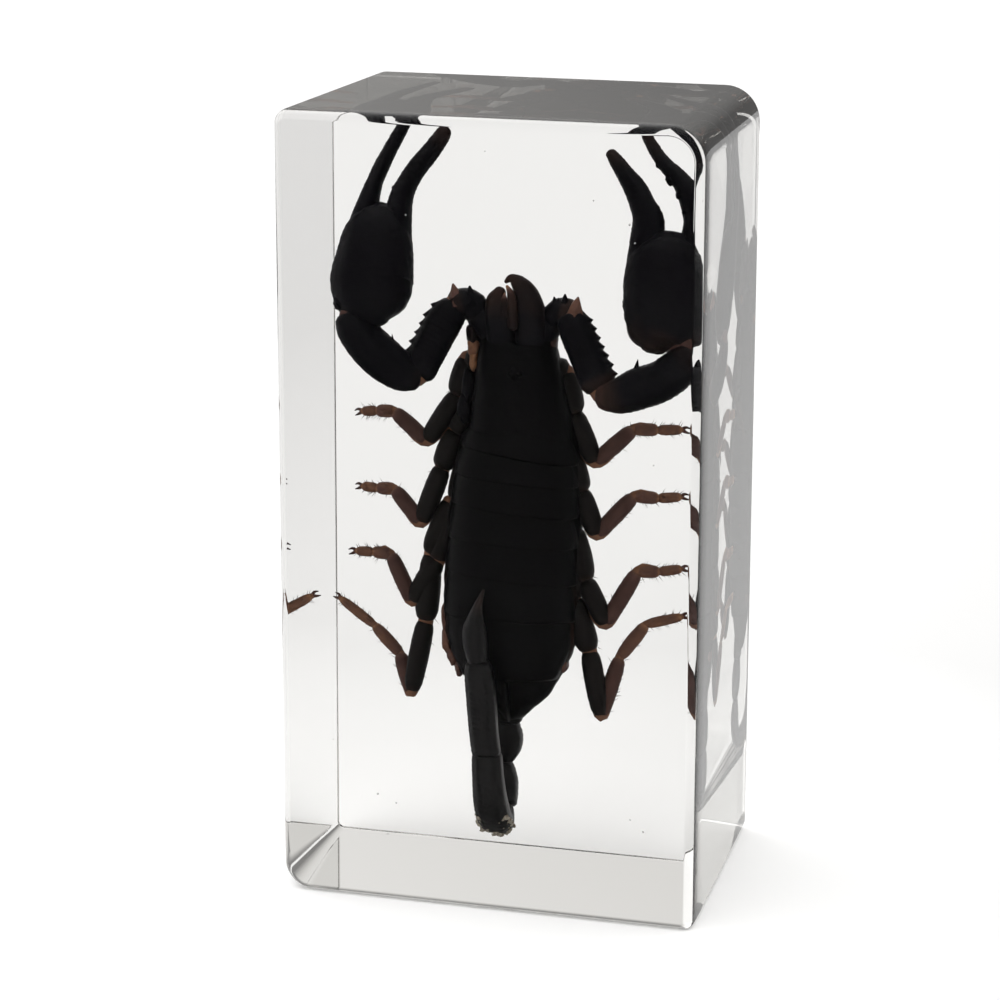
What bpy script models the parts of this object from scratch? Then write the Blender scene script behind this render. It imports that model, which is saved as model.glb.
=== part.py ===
"""A black scorpion cast in an upright block of clear resin.

The block stands on its narrow end. The origin is the middle of that end, +Z is up, +X is to the right of
someone who looks at the scorpion's back, and +Y points away from them, into the block. Places and sizes
below are in millimetres: across from the block's middle line, depth behind its front face, and height above
its base.
"""

import math
from dataclasses import dataclass

import bmesh
import bpy
from mathutils import Matrix, Vector

MILLIMETRE = 0.001

# The cast block, seen from the front
BLOCK_WIDTH = 61.0
BLOCK_DEPTH = 42.0
BLOCK_HEIGHT = 112.0
CORNER_TOP_LEFT = 1.8
CORNER_TOP_RIGHT = 5.0
CORNER_BOTTOM_RIGHT = 0.8
CORNER_BOTTOM_LEFT = 3.0
FRONT_EDGE_ROUND = 1.5
BACK_EDGE_ROUND = 0.4
CORNER_SEGMENTS = 3
FRONT_EDGE_SEGMENTS = 2
BACK_EDGE_SEGMENTS = 1

# The plane that parts the block, and the room around the scorpion
PARTING_DEPTH = 26.0
PARTING_GAP = 0.3
POCKET_CLEARANCE = 0.45

# Sides of a rounded bead, seen from the front, for beads wider than a given radius
BODY_BEAD = 4.5
BODY_BEAD_SIDES = 10
ARM_BEAD = 2.05
ARM_BEAD_SIDES = 8
LEG_BEAD = 0.7
LEG_BEAD_SIDES = 6
POINT_SIDES = 4
ROUND_BEAD = 1.3
ROUND_BEAD_RINGS = 4
FLAT_BEAD_RINGS = 2
JOINT_WAIST = 0.86

# The depth that the middle of the scorpion's body lies at
BODY_CENTRE_DEPTH = 27.0

# The spines of each arm's femur, and the two claws of each foot
FEMUR_SPINES = 5
SPINE_LENGTH = 0.8
SPINE_RADIUS = 0.45
CLAW_LENGTH = 1.1
CLAW_SPREAD = math.radians(32)
CLAW_RADIUS = 0.3
POINT_RADIUS = 0.08


@dataclass(frozen=True)
class Bead:
    """A rounded lump on a limb's line; neighbouring beads are joined by the skin stretched over both."""

    across: float
    depth: float
    height: float
    radius: float
    thickness: float = 0.0
    rise: float = 0.0

    @property
    def half_depth(self):
        """Half the bead's size front to back, the radius where no thickness is given."""
        return self.thickness or self.radius

    @property
    def half_height(self):
        """Half the bead's size along the block, the radius where no rise is given."""
        return self.rise or self.radius

    @property
    def place(self):
        """The bead's middle."""
        return Vector((self.across, self.depth, self.height))

    @property
    def sides(self):
        """How many sides the bead has, seen from the front."""
        if self.radius > BODY_BEAD:
            return BODY_BEAD_SIDES
        if self.radius > ARM_BEAD:
            return ARM_BEAD_SIDES
        return LEG_BEAD_SIDES if self.radius > LEG_BEAD else POINT_SIDES

    @property
    def rings(self):
        """How many steps the bead has from its front to its back."""
        return ROUND_BEAD_RINGS if self.radius > ROUND_BEAD else FLAT_BEAD_RINGS

    def waist(self):
        """The same bead a little smaller, where the next piece of the limb starts inside this one."""
        return Bead(self.across, self.depth, self.height, self.radius * JOINT_WAIST,
                    self.half_depth * JOINT_WAIST, self.half_height * JOINT_WAIST)


HEAD_SHIELD = [
    Bead(0.7, 25.0, 78.6, 5.2, 3.4, 1.2),
    Bead(1.1, 25.6, 74.0, 6.6, 4.6, 1.5),
    Bead(1.4, 26.3, 66.5, 8.0, 5.4, 1.5),
]
BACK_PLATES = [
    Bead(1.3, BODY_CENTRE_DEPTH, 65.4, 8.6, 5.8, 1.2),
    Bead(0.8, BODY_CENTRE_DEPTH, 60.9, 9.3, 6.3, 1.2),
    Bead(0.5, BODY_CENTRE_DEPTH, 56.4, 9.7, 6.5, 1.2),
    Bead(0.2, BODY_CENTRE_DEPTH, 51.9, 9.9, 6.6, 1.2),
    Bead(0.0, BODY_CENTRE_DEPTH, 46.9, 10.1, 6.5, 1.2),
    Bead(-0.4, BODY_CENTRE_DEPTH, 40.9, 10.2, 6.2, 1.2),
    Bead(-0.6, BODY_CENTRE_DEPTH, 34.9, 9.9, 5.6, 1.2),
    Bead(-0.5, BODY_CENTRE_DEPTH, 29.8, 7.8, 4.8, 1.0),
    Bead(-0.8, BODY_CENTRE_DEPTH, 25.0, 4.2, 3.6, 1.0),
]
TAIL = [
    Bead(-1.0, 28.5, 24.3, 2.7),
    Bead(-1.3, 29.2, 20.0, 2.5),
    Bead(-1.5, 29.6, 15.8, 1.9),
    Bead(-1.8, 29.3, 11.2, 2.4),
    Bead(-1.6, 26.4, 7.8, 2.1),
    Bead(-1.4, 20.6, 7.8, 2.3),
    Bead(-1.7, 17.4, 11.6, 2.5),
    Bead(-1.9, 16.8, 16.2, 2.3),
    Bead(-2.2, 16.6, 20.2, 2.1),
    Bead(-2.8, 16.3, 27.2, 2.2),
    Bead(-3.5, 16.0, 34.4, 2.0),
    Bead(-3.8, 15.7, 38.0, 1.9),
    Bead(-2.7, 16.4, 43.4, 0.5),
]
LEFT_JAW = [
    Bead(-1.2, 24.0, 81.0, 2.2),
    Bead(-2.0, 23.6, 84.7, 1.6),
]
RIGHT_JAW = [
    Bead(2.6, 24.0, 81.0, 2.4),
    Bead(2.2, 23.6, 85.7, 2.2),
    Bead(0.0, 23.3, 87.6, 0.7),
]
LEFT_ARM = [
    Bead(-2.0, 25.4, 80.2, 3.0),
    Bead(-6.9, 24.4, 83.3, 2.6),
    Bead(-9.1, 23.6, 82.0, 2.6),
    Bead(-12.4, 21.2, 75.4, 2.8),
    Bead(-13.7, 19.8, 73.8, 2.7),
    Bead(-17.7, 19.0, 75.4, 3.1),
    Bead(-21.8, 18.6, 79.8, 3.1),
]
LEFT_PALM = [
    Bead(-20.2, 20.0, 84.6, 5.7, 4.2, 4.2),
    Bead(-19.8, 22.0, 88.6, 5.8, 4.2),
    Bead(-19.2, 25.0, 95.0, 4.3, 3.0, 2.5),
]
LEFT_OUTER_FINGER = [
    Bead(-21.1, 25.4, 96.2, 1.8),
    Bead(-20.2, 28.8, 101.0, 1.2),
    Bead(-18.5, 31.8, 105.2, 1.1),
    Bead(-16.5, 35.9, 109.4, 0.5),
]
LEFT_INNER_FINGER = [
    Bead(-16.5, 26.0, 97.2, 1.9),
    Bead(-15.3, 27.8, 100.6, 1.6),
    Bead(-12.9, 30.0, 104.0, 1.3),
    Bead(-11.0, 31.8, 106.8, 0.95),
]
RIGHT_ARM = [
    Bead(3.9, 25.4, 80.0, 3.0),
    Bead(7.6, 24.4, 82.8, 2.3),
    Bead(9.2, 23.5, 81.4, 2.5),
    Bead(12.0, 21.8, 75.6, 2.8),
    Bead(14.3, 20.8, 73.0, 2.6),
    Bead(19.6, 20.1, 74.3, 3.1),
    Bead(24.8, 19.9, 78.2, 2.8),
]
RIGHT_PALM = [
    Bead(21.7, 21.6, 83.0, 5.8, 4.2, 4.4),
    Bead(22.1, 23.4, 88.0, 5.9, 4.2),
    Bead(22.3, 25.6, 93.8, 5.1, 3.2, 2.5),
]
RIGHT_OUTER_FINGER = [
    Bead(25.4, 26.4, 96.0, 1.8),
    Bead(23.9, 28.5, 100.8, 1.5),
    Bead(21.2, 29.8, 103.4, 1.1),
    Bead(18.7, 31.0, 106.0, 0.9),
    Bead(17.1, 32.2, 108.6, 0.5),
]
RIGHT_INNER_FINGER = [
    Bead(18.9, 26.4, 96.4, 2.1),
    Bead(17.1, 27.6, 100.2, 1.6),
    Bead(15.1, 28.7, 102.7, 1.2),
    Bead(13.0, 29.6, 105.1, 0.6),
]

# Leg joints from the body to the foot, as (across, depth, height)
LEG_RADII = (1.7, 1.65, 1.6, 1.35, 1.0, 0.8, 0.65)
LEG_JOINTS = {
    "left_leg_1": [(-2.6, 27.0, 74.9), (-7.0, 27.0, 75.9), (-8.4, 27.0, 70.8), (-12.5, 27.0, 63.7),
                   (-17.9, 28.3, 67.1), (-20.6, 28.9, 66.8), (-22.9, 29.5, 66.5)],
    "left_leg_2": [(-3.8, 27.0, 71.4), (-8.7, 27.5, 64.9), (-10.4, 27.5, 59.7), (-13.4, 27.0, 51.6),
                   (-18.0, 28.7, 55.5), (-20.7, 29.5, 55.0), (-23.1, 30.2, 55.0)],
    "left_leg_3": [(-4.3, 27.0, 68.9), (-9.3, 27.5, 54.8), (-11.9, 27.5, 45.8), (-14.6, 27.2, 39.8),
                   (-18.4, 28.2, 45.4), (-21.2, 28.5, 45.3), (-23.8, 28.8, 45.2)],
    "left_leg_4": [(-9.3, 27.5, 54.5), (-11.2, 27.8, 46.5), (-13.7, 28.0, 36.4), (-15.5, 28.0, 25.8),
                   (-17.5, 30.3, 30.5), (-21.7, 31.8, 34.2), (-27.3, 33.8, 37.5)],
    "right_leg_1": [(4.8, 27.0, 74.9), (7.2, 27.0, 74.3), (8.7, 27.0, 68.8), (11.9, 27.0, 62.2),
                    (17.0, 28.5, 66.8), (20.3, 29.5, 66.6), (23.6, 30.5, 66.7)],
    "right_leg_2": [(6.4, 27.0, 70.4), (8.5, 27.3, 63.3), (10.0, 27.3, 57.6), (12.0, 27.0, 51.8),
                    (17.1, 28.8, 56.9), (20.5, 29.8, 56.5), (23.6, 30.8, 56.7)],
    "right_leg_3": [(6.9, 27.0, 65.4), (9.1, 27.3, 51.8), (10.6, 27.5, 44.5), (13.3, 27.4, 38.8),
                    (17.4, 29.0, 46.0), (20.8, 29.9, 45.7), (23.9, 30.8, 46.1)],
    "right_leg_4": [(8.0, 27.3, 51.5), (8.7, 27.5, 41.5), (11.0, 27.4, 34.2), (13.3, 27.1, 25.0),
                    (16.4, 29.5, 33.2), (19.2, 30.4, 37.9), (24.0, 31.8, 39.3)],
}


def clear_scene():
    """Remove everything that a new Blender file holds."""
    for item in list(bpy.data.objects):
        bpy.data.objects.remove(item)


def new_collection(name):
    """Make a collection in the scene."""
    collection = bpy.data.collections.new(name)
    bpy.context.scene.collection.children.link(collection)
    return collection


def principled(name, colour, roughness):
    """Make a plain material."""
    material = bpy.data.materials.new(name)
    material.use_nodes = True
    shader = material.node_tree.nodes["Principled BSDF"]
    shader.inputs["Base Color"].default_value = (*colour, 1.0)
    shader.inputs["Roughness"].default_value = roughness
    shader.inputs["Metallic"].default_value = 0.0
    return material


def clear_resin():
    """The block's material, which light passes through."""
    material = principled("clear resin", (0.97, 0.98, 0.97), 0.02)
    shader = material.node_tree.nodes["Principled BSDF"]
    shader.inputs["Transmission Weight"].default_value = 1.0
    shader.inputs["IOR"].default_value = 1.55
    return material


def black_cuticle():
    """The scorpion's hard black skin."""
    return principled("black cuticle", (0.012, 0.009, 0.009), 0.3)


def to_block(place):
    """Turn (across, depth, height) in millimetres into a place in metres."""
    across, depth, height = place
    return Vector((across, depth - BLOCK_DEPTH / 2, height)) * MILLIMETRE


def add_object(name, shape, collection, material=None):
    """Put a finished bmesh in the scene as a smooth-shaded object."""
    mesh = bpy.data.meshes.new(name)
    shape.to_mesh(mesh)
    shape.free()
    mesh.shade_smooth()
    mesh.set_sharp_from_angle(angle=math.radians(35))
    item = bpy.data.objects.new(name, mesh)
    if material:
        mesh.materials.append(material)
    collection.objects.link(item)
    return item


def add_cutter(name, shape, collection):
    """Put a shape in the scene that only cuts or joins other shapes."""
    item = add_object(name, shape, collection)
    item.hide_render = True
    item.display_type = "WIRE"
    return item


def stretch_skin(shape):
    """Keep only the tightest skin around all the points of a bmesh."""
    bmesh.ops.delete(shape, geom=shape.edges[:], context="EDGES_FACES")
    bmesh.ops.convex_hull(shape, input=shape.verts[:])
    loose = [vertex for vertex in shape.verts if not vertex.link_faces]
    bmesh.ops.delete(shape, geom=loose, context="VERTS")
    bmesh.ops.recalc_face_normals(shape, faces=shape.faces[:])


def limb_piece(beads):
    """One piece of the scorpion: the skin stretched over a few beads."""
    shape = bmesh.new()
    facing = Matrix.Rotation(math.pi / 2, 4, "X")
    for bead in beads:
        size = Vector((bead.radius, bead.half_depth, bead.half_height)) * MILLIMETRE
        place = Matrix.Translation(to_block(bead.place)) @ Matrix.Diagonal((*size, 1.0)) @ facing
        bmesh.ops.create_uvsphere(shape, u_segments=bead.sides, v_segments=bead.rings, radius=1.0,
                                  matrix=place)
    stretch_skin(shape)
    return shape


def pocket_piece(beads):
    """The room for a limb piece: a straight hole from the parting plane to past the piece."""
    nearest = min(bead.depth - bead.half_depth for bead in beads) - POCKET_CLEARANCE
    farthest = max(bead.depth + bead.half_depth for bead in beads) + POCKET_CLEARANCE
    ends = (min(nearest, PARTING_DEPTH - PARTING_GAP), max(farthest, PARTING_DEPTH + PARTING_GAP))
    shape = bmesh.new()
    facing = Matrix.Rotation(math.pi / 2, 4, "X")
    for bead in beads:
        outside = 1.0 / math.cos(math.pi / bead.sides)
        width = (bead.radius + POCKET_CLEARANCE) * outside * MILLIMETRE
        height = (bead.half_height + POCKET_CLEARANCE) * outside * MILLIMETRE
        for depth in ends:
            centre = to_block((bead.across, depth, bead.height))
            place = Matrix.Translation(centre) @ Matrix.Diagonal((width, 1.0, height, 1.0)) @ facing
            bmesh.ops.create_circle(shape, segments=bead.sides, radius=1.0, matrix=place)
    stretch_skin(shape)
    return shape


def limb_pairs(line):
    """Split a limb's line of beads into pieces, each starting inside the one before."""
    return [(first if index == 0 else first.waist(), second)
            for index, (first, second) in enumerate(zip(line, line[1:]))]


def femur_spines(upper, lower, side):
    """The row of spines along the outer edge of an arm's femur."""
    along = (lower.place - upper.place).normalized()
    outward = Vector((-along.z, 0.0, along.x)) * side
    spines = []
    for step in range(FEMUR_SPINES):
        middle = upper.place.lerp(lower.place, (step + 0.5) / FEMUR_SPINES)
        base = middle + outward * (upper.radius - SPINE_RADIUS)
        point = middle + outward * (upper.radius + SPINE_LENGTH)
        spines.append((Bead(*base, SPINE_RADIUS), Bead(*point, POINT_RADIUS)))
    return spines


def leg_line(joints):
    """The beads of one leg, thinner from joint to joint."""
    return [Bead(*joint, radius) for joint, radius in zip(joints, LEG_RADII)]


def leg_claws(line):
    """The two small claws on a leg's foot."""
    foot = line[-1]
    along = (foot.place - line[-2].place).normalized()
    claws = []
    for turn in (-CLAW_SPREAD, CLAW_SPREAD):
        point = foot.place + Matrix.Rotation(turn, 3, "Y") @ along * CLAW_LENGTH
        claws.append((Bead(*foot.place, CLAW_RADIUS), Bead(*point, POINT_RADIUS)))
    return claws


def main_pieces():
    """The bead groups of the body, tail, jaws, arms and legs, without spines and claws."""
    pieces = [tuple(HEAD_SHIELD), tuple(LEFT_PALM), tuple(RIGHT_PALM)]
    for line in (BACK_PLATES, TAIL, LEFT_JAW, RIGHT_JAW, LEFT_ARM, RIGHT_ARM, LEFT_OUTER_FINGER,
                 LEFT_INNER_FINGER, RIGHT_OUTER_FINGER, RIGHT_INNER_FINGER):
        pieces += limb_pairs(line)
    for joints in LEG_JOINTS.values():
        pieces += limb_pairs(leg_line(joints))
    return pieces


def small_repeats():
    """The spines of each arm and the claws of each leg."""
    repeats = femur_spines(LEFT_ARM[2], LEFT_ARM[3], -1) + femur_spines(RIGHT_ARM[2], RIGHT_ARM[3], 1)
    for joints in LEG_JOINTS.values():
        repeats += leg_claws(leg_line(joints))
    return repeats


def pocket_groups():
    """Bead groups for the pocket, with several beads in one group where a limb runs nearly straight."""
    groups = [HEAD_SHIELD + [LEFT_JAW[-1], RIGHT_JAW[-2], RIGHT_JAW[-1]], BACK_PLATES[:-1], BACK_PLATES[-2:]]
    groups += [TAIL[:4], TAIL[3:6], TAIL[5:7], TAIL[6:9], TAIL[8:]]
    groups += [LEFT_ARM[:3], LEFT_ARM[3:6], LEFT_ARM[5:], RIGHT_ARM[:3], RIGHT_ARM[3:], LEFT_PALM, RIGHT_PALM]
    groups += [LEFT_OUTER_FINGER[:2], LEFT_OUTER_FINGER[1:], LEFT_INNER_FINGER, RIGHT_INNER_FINGER]
    groups += [RIGHT_OUTER_FINGER[:3], RIGHT_OUTER_FINGER[2:]]
    for arm, side in ((LEFT_ARM, -1), (RIGHT_ARM, 1)):
        spines = femur_spines(arm[2], arm[3], side)
        groups.append([arm[2], arm[3], spines[0][1], spines[-1][1]])
    for joints in LEG_JOINTS.values():
        line = leg_line(joints)
        claws = [point for _, point in leg_claws(line)]
        groups += [line[:3], line[2:4], line[3:6], line[5:] + claws]
    return groups


def join_pieces(item, others):
    """Join every shape of a collection to an object, as one closed solid."""
    join = item.modifiers.new("joined pieces", "BOOLEAN")
    join.operation = "UNION"
    join.operand_type = "COLLECTION"
    join.collection = others
    join.solver = "EXACT"


def add_scorpion(parts, cutters, pieces):
    """The scorpion, grown as one piece."""
    joined = bpy.data.collections.new("scorpion pieces")
    cutters.children.link(joined)
    scorpion = add_object("scorpion", limb_piece(pieces[0]), parts, black_cuticle())
    for index, beads in enumerate(pieces[1:], start=1):
        add_cutter(f"scorpion_piece_{index}", limb_piece(beads), joined)
    join_pieces(scorpion, joined)


def add_pocket(cutters, pieces):
    """The room in the block that the scorpion fills."""
    joined = bpy.data.collections.new("pocket pieces")
    cutters.children.link(joined)
    pocket = add_cutter("pocket", pocket_piece(pieces[0]), cutters)
    for index, beads in enumerate(pieces[1:], start=1):
        add_cutter(f"pocket_piece_{index}", pocket_piece(beads), joined)
    join_pieces(pocket, joined)
    return pocket


def round_corner(shape, corner_side, corner_end, radius):
    """Round the upright edge of the block's front outline at one of its four corners."""
    corner = Vector((corner_side * BLOCK_WIDTH / 2, BLOCK_HEIGHT * (corner_end + 1) / 2)) * MILLIMETRE
    edges = [edge for edge in shape.edges
             if all(math.dist((vertex.co.x, vertex.co.z), corner) < MILLIMETRE / 10 for vertex in edge.verts)]
    bmesh.ops.bevel(shape, geom=edges, offset=radius * MILLIMETRE, offset_type="OFFSET",
                    segments=CORNER_SEGMENTS, profile=0.5, affect="EDGES", clamp_overlap=True, material=-1)


def round_rim(shape, facing, radius, segments):
    """Round the rim of the block's front face, or of its back face."""
    face_depth = facing * BLOCK_DEPTH / 2 * MILLIMETRE
    rim = [edge for edge in shape.edges
           if all(abs(vertex.co.y - face_depth) < MILLIMETRE / 10 for vertex in edge.verts)]
    bmesh.ops.bevel(shape, geom=rim, offset=radius * MILLIMETRE, offset_type="OFFSET", segments=segments,
                    profile=0.5, affect="EDGES", clamp_overlap=True, material=-1)


def cast_block():
    """The whole block with its four corners and its front and back edges rounded."""
    shape = bmesh.new()
    size = Vector((BLOCK_WIDTH, BLOCK_DEPTH, BLOCK_HEIGHT)) * MILLIMETRE
    place = Matrix.Translation((0.0, 0.0, size.z / 2)) @ Matrix.Diagonal((*size, 1.0))
    bmesh.ops.create_cube(shape, size=1.0, matrix=place)
    round_corner(shape, -1, 1, CORNER_TOP_LEFT)
    round_corner(shape, 1, 1, CORNER_TOP_RIGHT)
    round_corner(shape, 1, -1, CORNER_BOTTOM_RIGHT)
    round_corner(shape, -1, -1, CORNER_BOTTOM_LEFT)
    round_rim(shape, -1, FRONT_EDGE_ROUND, FRONT_EDGE_SEGMENTS)
    round_rim(shape, 1, BACK_EDGE_ROUND, BACK_EDGE_SEGMENTS)
    return shape


def add_half(name, facing, parts, pocket):
    """One half of the block, on the side of the parting plane that `facing` points to, with its recess."""
    shape = cast_block()
    plane = to_block((0.0, PARTING_DEPTH + facing * PARTING_GAP / 2, 0.0))
    bmesh.ops.bisect_plane(shape, geom=shape.verts[:] + shape.edges[:] + shape.faces[:], plane_co=plane,
                           plane_no=(0.0, -facing, 0.0), clear_outer=True)
    rim = [edge for edge in shape.edges if edge.is_boundary]
    bmesh.ops.contextual_create(shape, geom=rim)
    bmesh.ops.recalc_face_normals(shape, faces=shape.faces[:])
    half = add_object(name, shape, parts, clear_resin())
    recess = half.modifiers.new("recess for the scorpion", "BOOLEAN")
    recess.operation = "DIFFERENCE"
    recess.object = pocket
    recess.solver = "EXACT"


def main():
    """Build the block with the scorpion in it."""
    clear_scene()
    parts = new_collection("scorpion in resin block")
    cutters = new_collection("cutters")
    add_scorpion(parts, cutters, main_pieces() + small_repeats())
    pocket = add_pocket(cutters, pocket_groups())
    add_half("resin_front", -1, parts, pocket)
    add_half("resin_back", 1, parts, pocket)


main()
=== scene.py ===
"""The looks of a black scorpion cast in an upright block of clear resin.

Sizes and places are in millimetres, as in the part's own source: across from the block's middle line, depth
behind its front face, and height above its base. They become metres in the row frame when a mesh is placed.
"""
import logging
import math
import random
from dataclasses import dataclass, replace
from enum import Enum
from typing import Callable, Sequence

import bmesh
import bpy
from mathutils import Matrix, Vector, noise


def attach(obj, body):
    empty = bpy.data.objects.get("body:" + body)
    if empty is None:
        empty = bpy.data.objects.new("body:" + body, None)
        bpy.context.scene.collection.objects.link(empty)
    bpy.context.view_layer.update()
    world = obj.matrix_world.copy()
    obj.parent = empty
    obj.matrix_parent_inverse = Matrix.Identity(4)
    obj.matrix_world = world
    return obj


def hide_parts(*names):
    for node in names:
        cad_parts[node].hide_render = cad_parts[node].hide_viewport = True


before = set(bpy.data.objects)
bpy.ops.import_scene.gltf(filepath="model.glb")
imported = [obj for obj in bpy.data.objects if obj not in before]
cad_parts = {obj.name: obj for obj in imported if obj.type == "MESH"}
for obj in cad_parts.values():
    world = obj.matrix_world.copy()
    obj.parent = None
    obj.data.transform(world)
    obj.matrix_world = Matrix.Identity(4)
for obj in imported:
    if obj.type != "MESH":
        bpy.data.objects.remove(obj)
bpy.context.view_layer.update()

LOG = logging.getLogger("scorpion block")
MILLIMETRE = 0.001
BLOCK_DEPTH = 42.0
BLOCK_HEIGHT = 112.0
SCORPION_NODE = "scorpion"
TINT = "tint"
ORDER = "order"
DOME_TURNS = (28.0, 50.0, 70.0, 88.0)
TIP_SHARE = 0.08
LUMP_WAVES = 1.7
LUMP_SHIFT = 3.1
WHITE = (1.0, 1.0, 1.0, 1.0)
FINE = 3


class Lie(Enum):
    """How a limb's cross-sections are turned round its line."""

    FLAT = "the thin way points at the block's front face"
    ARCHED = "the wide way stays across the block, where the limb bends towards the front"


class Sock:
    """A shader value that takes part in plain Python expressions."""

    def __init__(self, looks: "Looks", socket: bpy.types.NodeSocket) -> None:
        """Hold one output of a node in a material or world."""
        self.looks = looks
        self.socket = socket

    def _math(self, operation: str, first: "Sock | float", second: "Sock | float") -> "Sock":
        """The result of a Math node."""
        return self.looks.node("ShaderNodeMath", {"operation": operation}, {0: first, 1: second})

    def __add__(self, other: "Sock | float") -> "Sock":
        """This value and another, added."""
        return self._math("ADD", self, other)

    def __radd__(self, other: "Sock | float") -> "Sock":
        """Another value and this, added."""
        return self._math("ADD", other, self)

    def __sub__(self, other: "Sock | float") -> "Sock":
        """This value less another."""
        return self._math("SUBTRACT", self, other)

    def __rsub__(self, other: "Sock | float") -> "Sock":
        """Another value less this."""
        return self._math("SUBTRACT", other, self)

    def __mul__(self, other: "Sock | float") -> "Sock":
        """This value times another."""
        return self._math("MULTIPLY", self, other)

    def __rmul__(self, other: "Sock | float") -> "Sock":
        """Another value times this."""
        return self._math("MULTIPLY", other, self)


class Looks:
    """The nodes of one material or of the world."""

    def __init__(self, owner: bpy.types.Material | bpy.types.World) -> None:
        """Empty the owner's node tree.

        Args:
            owner: A material or a world.
        """
        owner.use_nodes = True
        self.owner = owner
        self.tree = owner.node_tree
        self.tree.nodes.clear()

    def node(self, kind: str, settings: dict | None = None, inputs: dict | None = None,
             output: int | str = 0) -> Sock:
        """Add any node.

        Args:
            kind: The node's type.
            settings: Its own settings, and a ramp's stops under the name stops.
            inputs: The values or links of its sockets, by name or number.
            output: The socket that the result is taken from.

        Returns:
            The chosen output.
        """
        made = self.tree.nodes.new(kind)
        for name, value in (settings or {}).items():
            if name == "stops":
                self._set_stops(made.color_ramp.elements, value)
            else:
                setattr(made, name, value)
        for name, value in (inputs or {}).items():
            if isinstance(value, Sock):
                self.tree.links.new(value.socket, made.inputs[name])
            else:
                made.inputs[name].default_value = value
        return Sock(self, made.outputs[output] if made.outputs else None)

    @staticmethod
    def _set_stops(elements: bpy.types.bpy_prop_collection, stops: Sequence[tuple]) -> None:
        """Give a ramp its stops.

        Args:
            elements: The ramp's elements.
            stops: Pairs of a position and a colour.
        """
        while len(elements) > 1:
            elements.remove(elements[-1])
        elements[0].position = stops[0][0]
        elements[0].color = (*stops[0][1], 1.0)
        for position, colour in stops[1:]:
            elements.new(position).color = (*colour, 1.0)

    def place(self) -> Sock:
        """The point on the object, in metres."""
        return self.node("ShaderNodeTexCoord", output="Object")

    def part(self, vector: Sock, axis: str) -> Sock:
        """One coordinate of a vector, X, Y or Z."""
        return self.node("ShaderNodeSeparateXYZ", inputs={"Vector": vector}, output=axis)

    def grain(self, size: float, detail: float = 3.0) -> Sock:
        """Soft noise from 0 to 1, with features of a size in millimetres and so many finer layers."""
        return self.node("ShaderNodeTexNoise", inputs={"Vector": self.place(), "Detail": detail,
                                                       "Scale": 1.0 / (size * MILLIMETRE)})

    def ramp(self, value: Sock, stops: Sequence[tuple]) -> Sock:
        """The colour that a value turns into, from pairs of a position and a colour."""
        return self.node("ShaderNodeValToRGB", {"stops": stops}, {"Fac": value})

    def bump(self, height: Sock, depth: float) -> Sock:
        """The normal bent by a relief from 0 to 1 that is some millimetres deep."""
        return self.node("ShaderNodeBump", inputs={"Height": height, "Distance": depth * MILLIMETRE})

    def finish(self, inputs: dict | Sock, volume: Sock | None = None) -> bpy.types.ID:
        """Join a shader to the output.

        Args:
            inputs: The sockets of a Principled shader, or another shader.
            volume: What fills the inside, if anything.

        Returns:
            The finished material or world.
        """
        if isinstance(inputs, dict):
            inputs = self.node("ShaderNodeBsdfPrincipled", inputs=inputs)
        links = {"Surface": inputs, "Volume": volume} if volume else {"Surface": inputs}
        target = "World" if isinstance(self.owner, bpy.types.World) else "Material"
        self.node(f"ShaderNodeOutput{target}", inputs=links)
        return self.owner


@dataclass(frozen=True)
class ClearResin:
    """Cast resin, polished, with a faint tone of its own."""

    ior: float = 1.55
    facing_reflection: float = 0.03
    absorption_colour: tuple = (0.902, 0.900, 0.895)
    absorption_density: float = 56.0

    def make(self) -> bpy.types.Material:
        """Build the material."""
        looks = Looks(bpy.data.materials.new("clear resin"))
        tint = (*(self.facing_reflection,) * 3, 1.0)
        inside = looks.node("ShaderNodeVolumeAbsorption", inputs={
            "Color": (*self.absorption_colour, 1.0), "Density": self.absorption_density})
        return looks.finish({"Base Color": WHITE, "Roughness": 0.0, "IOR": self.ior,
                             "Transmission Weight": 1.0, "Specular Tint": tint}, inside)


@dataclass(frozen=True)
class AirBubble:
    """Air shut in the resin, so light bends the other way at its skin."""

    ior: float = 1.0 / ClearResin.ior

    def make(self) -> bpy.types.Material:
        """Build the material."""
        looks = Looks(bpy.data.materials.new("air in resin"))
        return looks.finish({"Base Color": WHITE, "Roughness": 0.0, "IOR": self.ior,
                             "Transmission Weight": 1.0})


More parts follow.
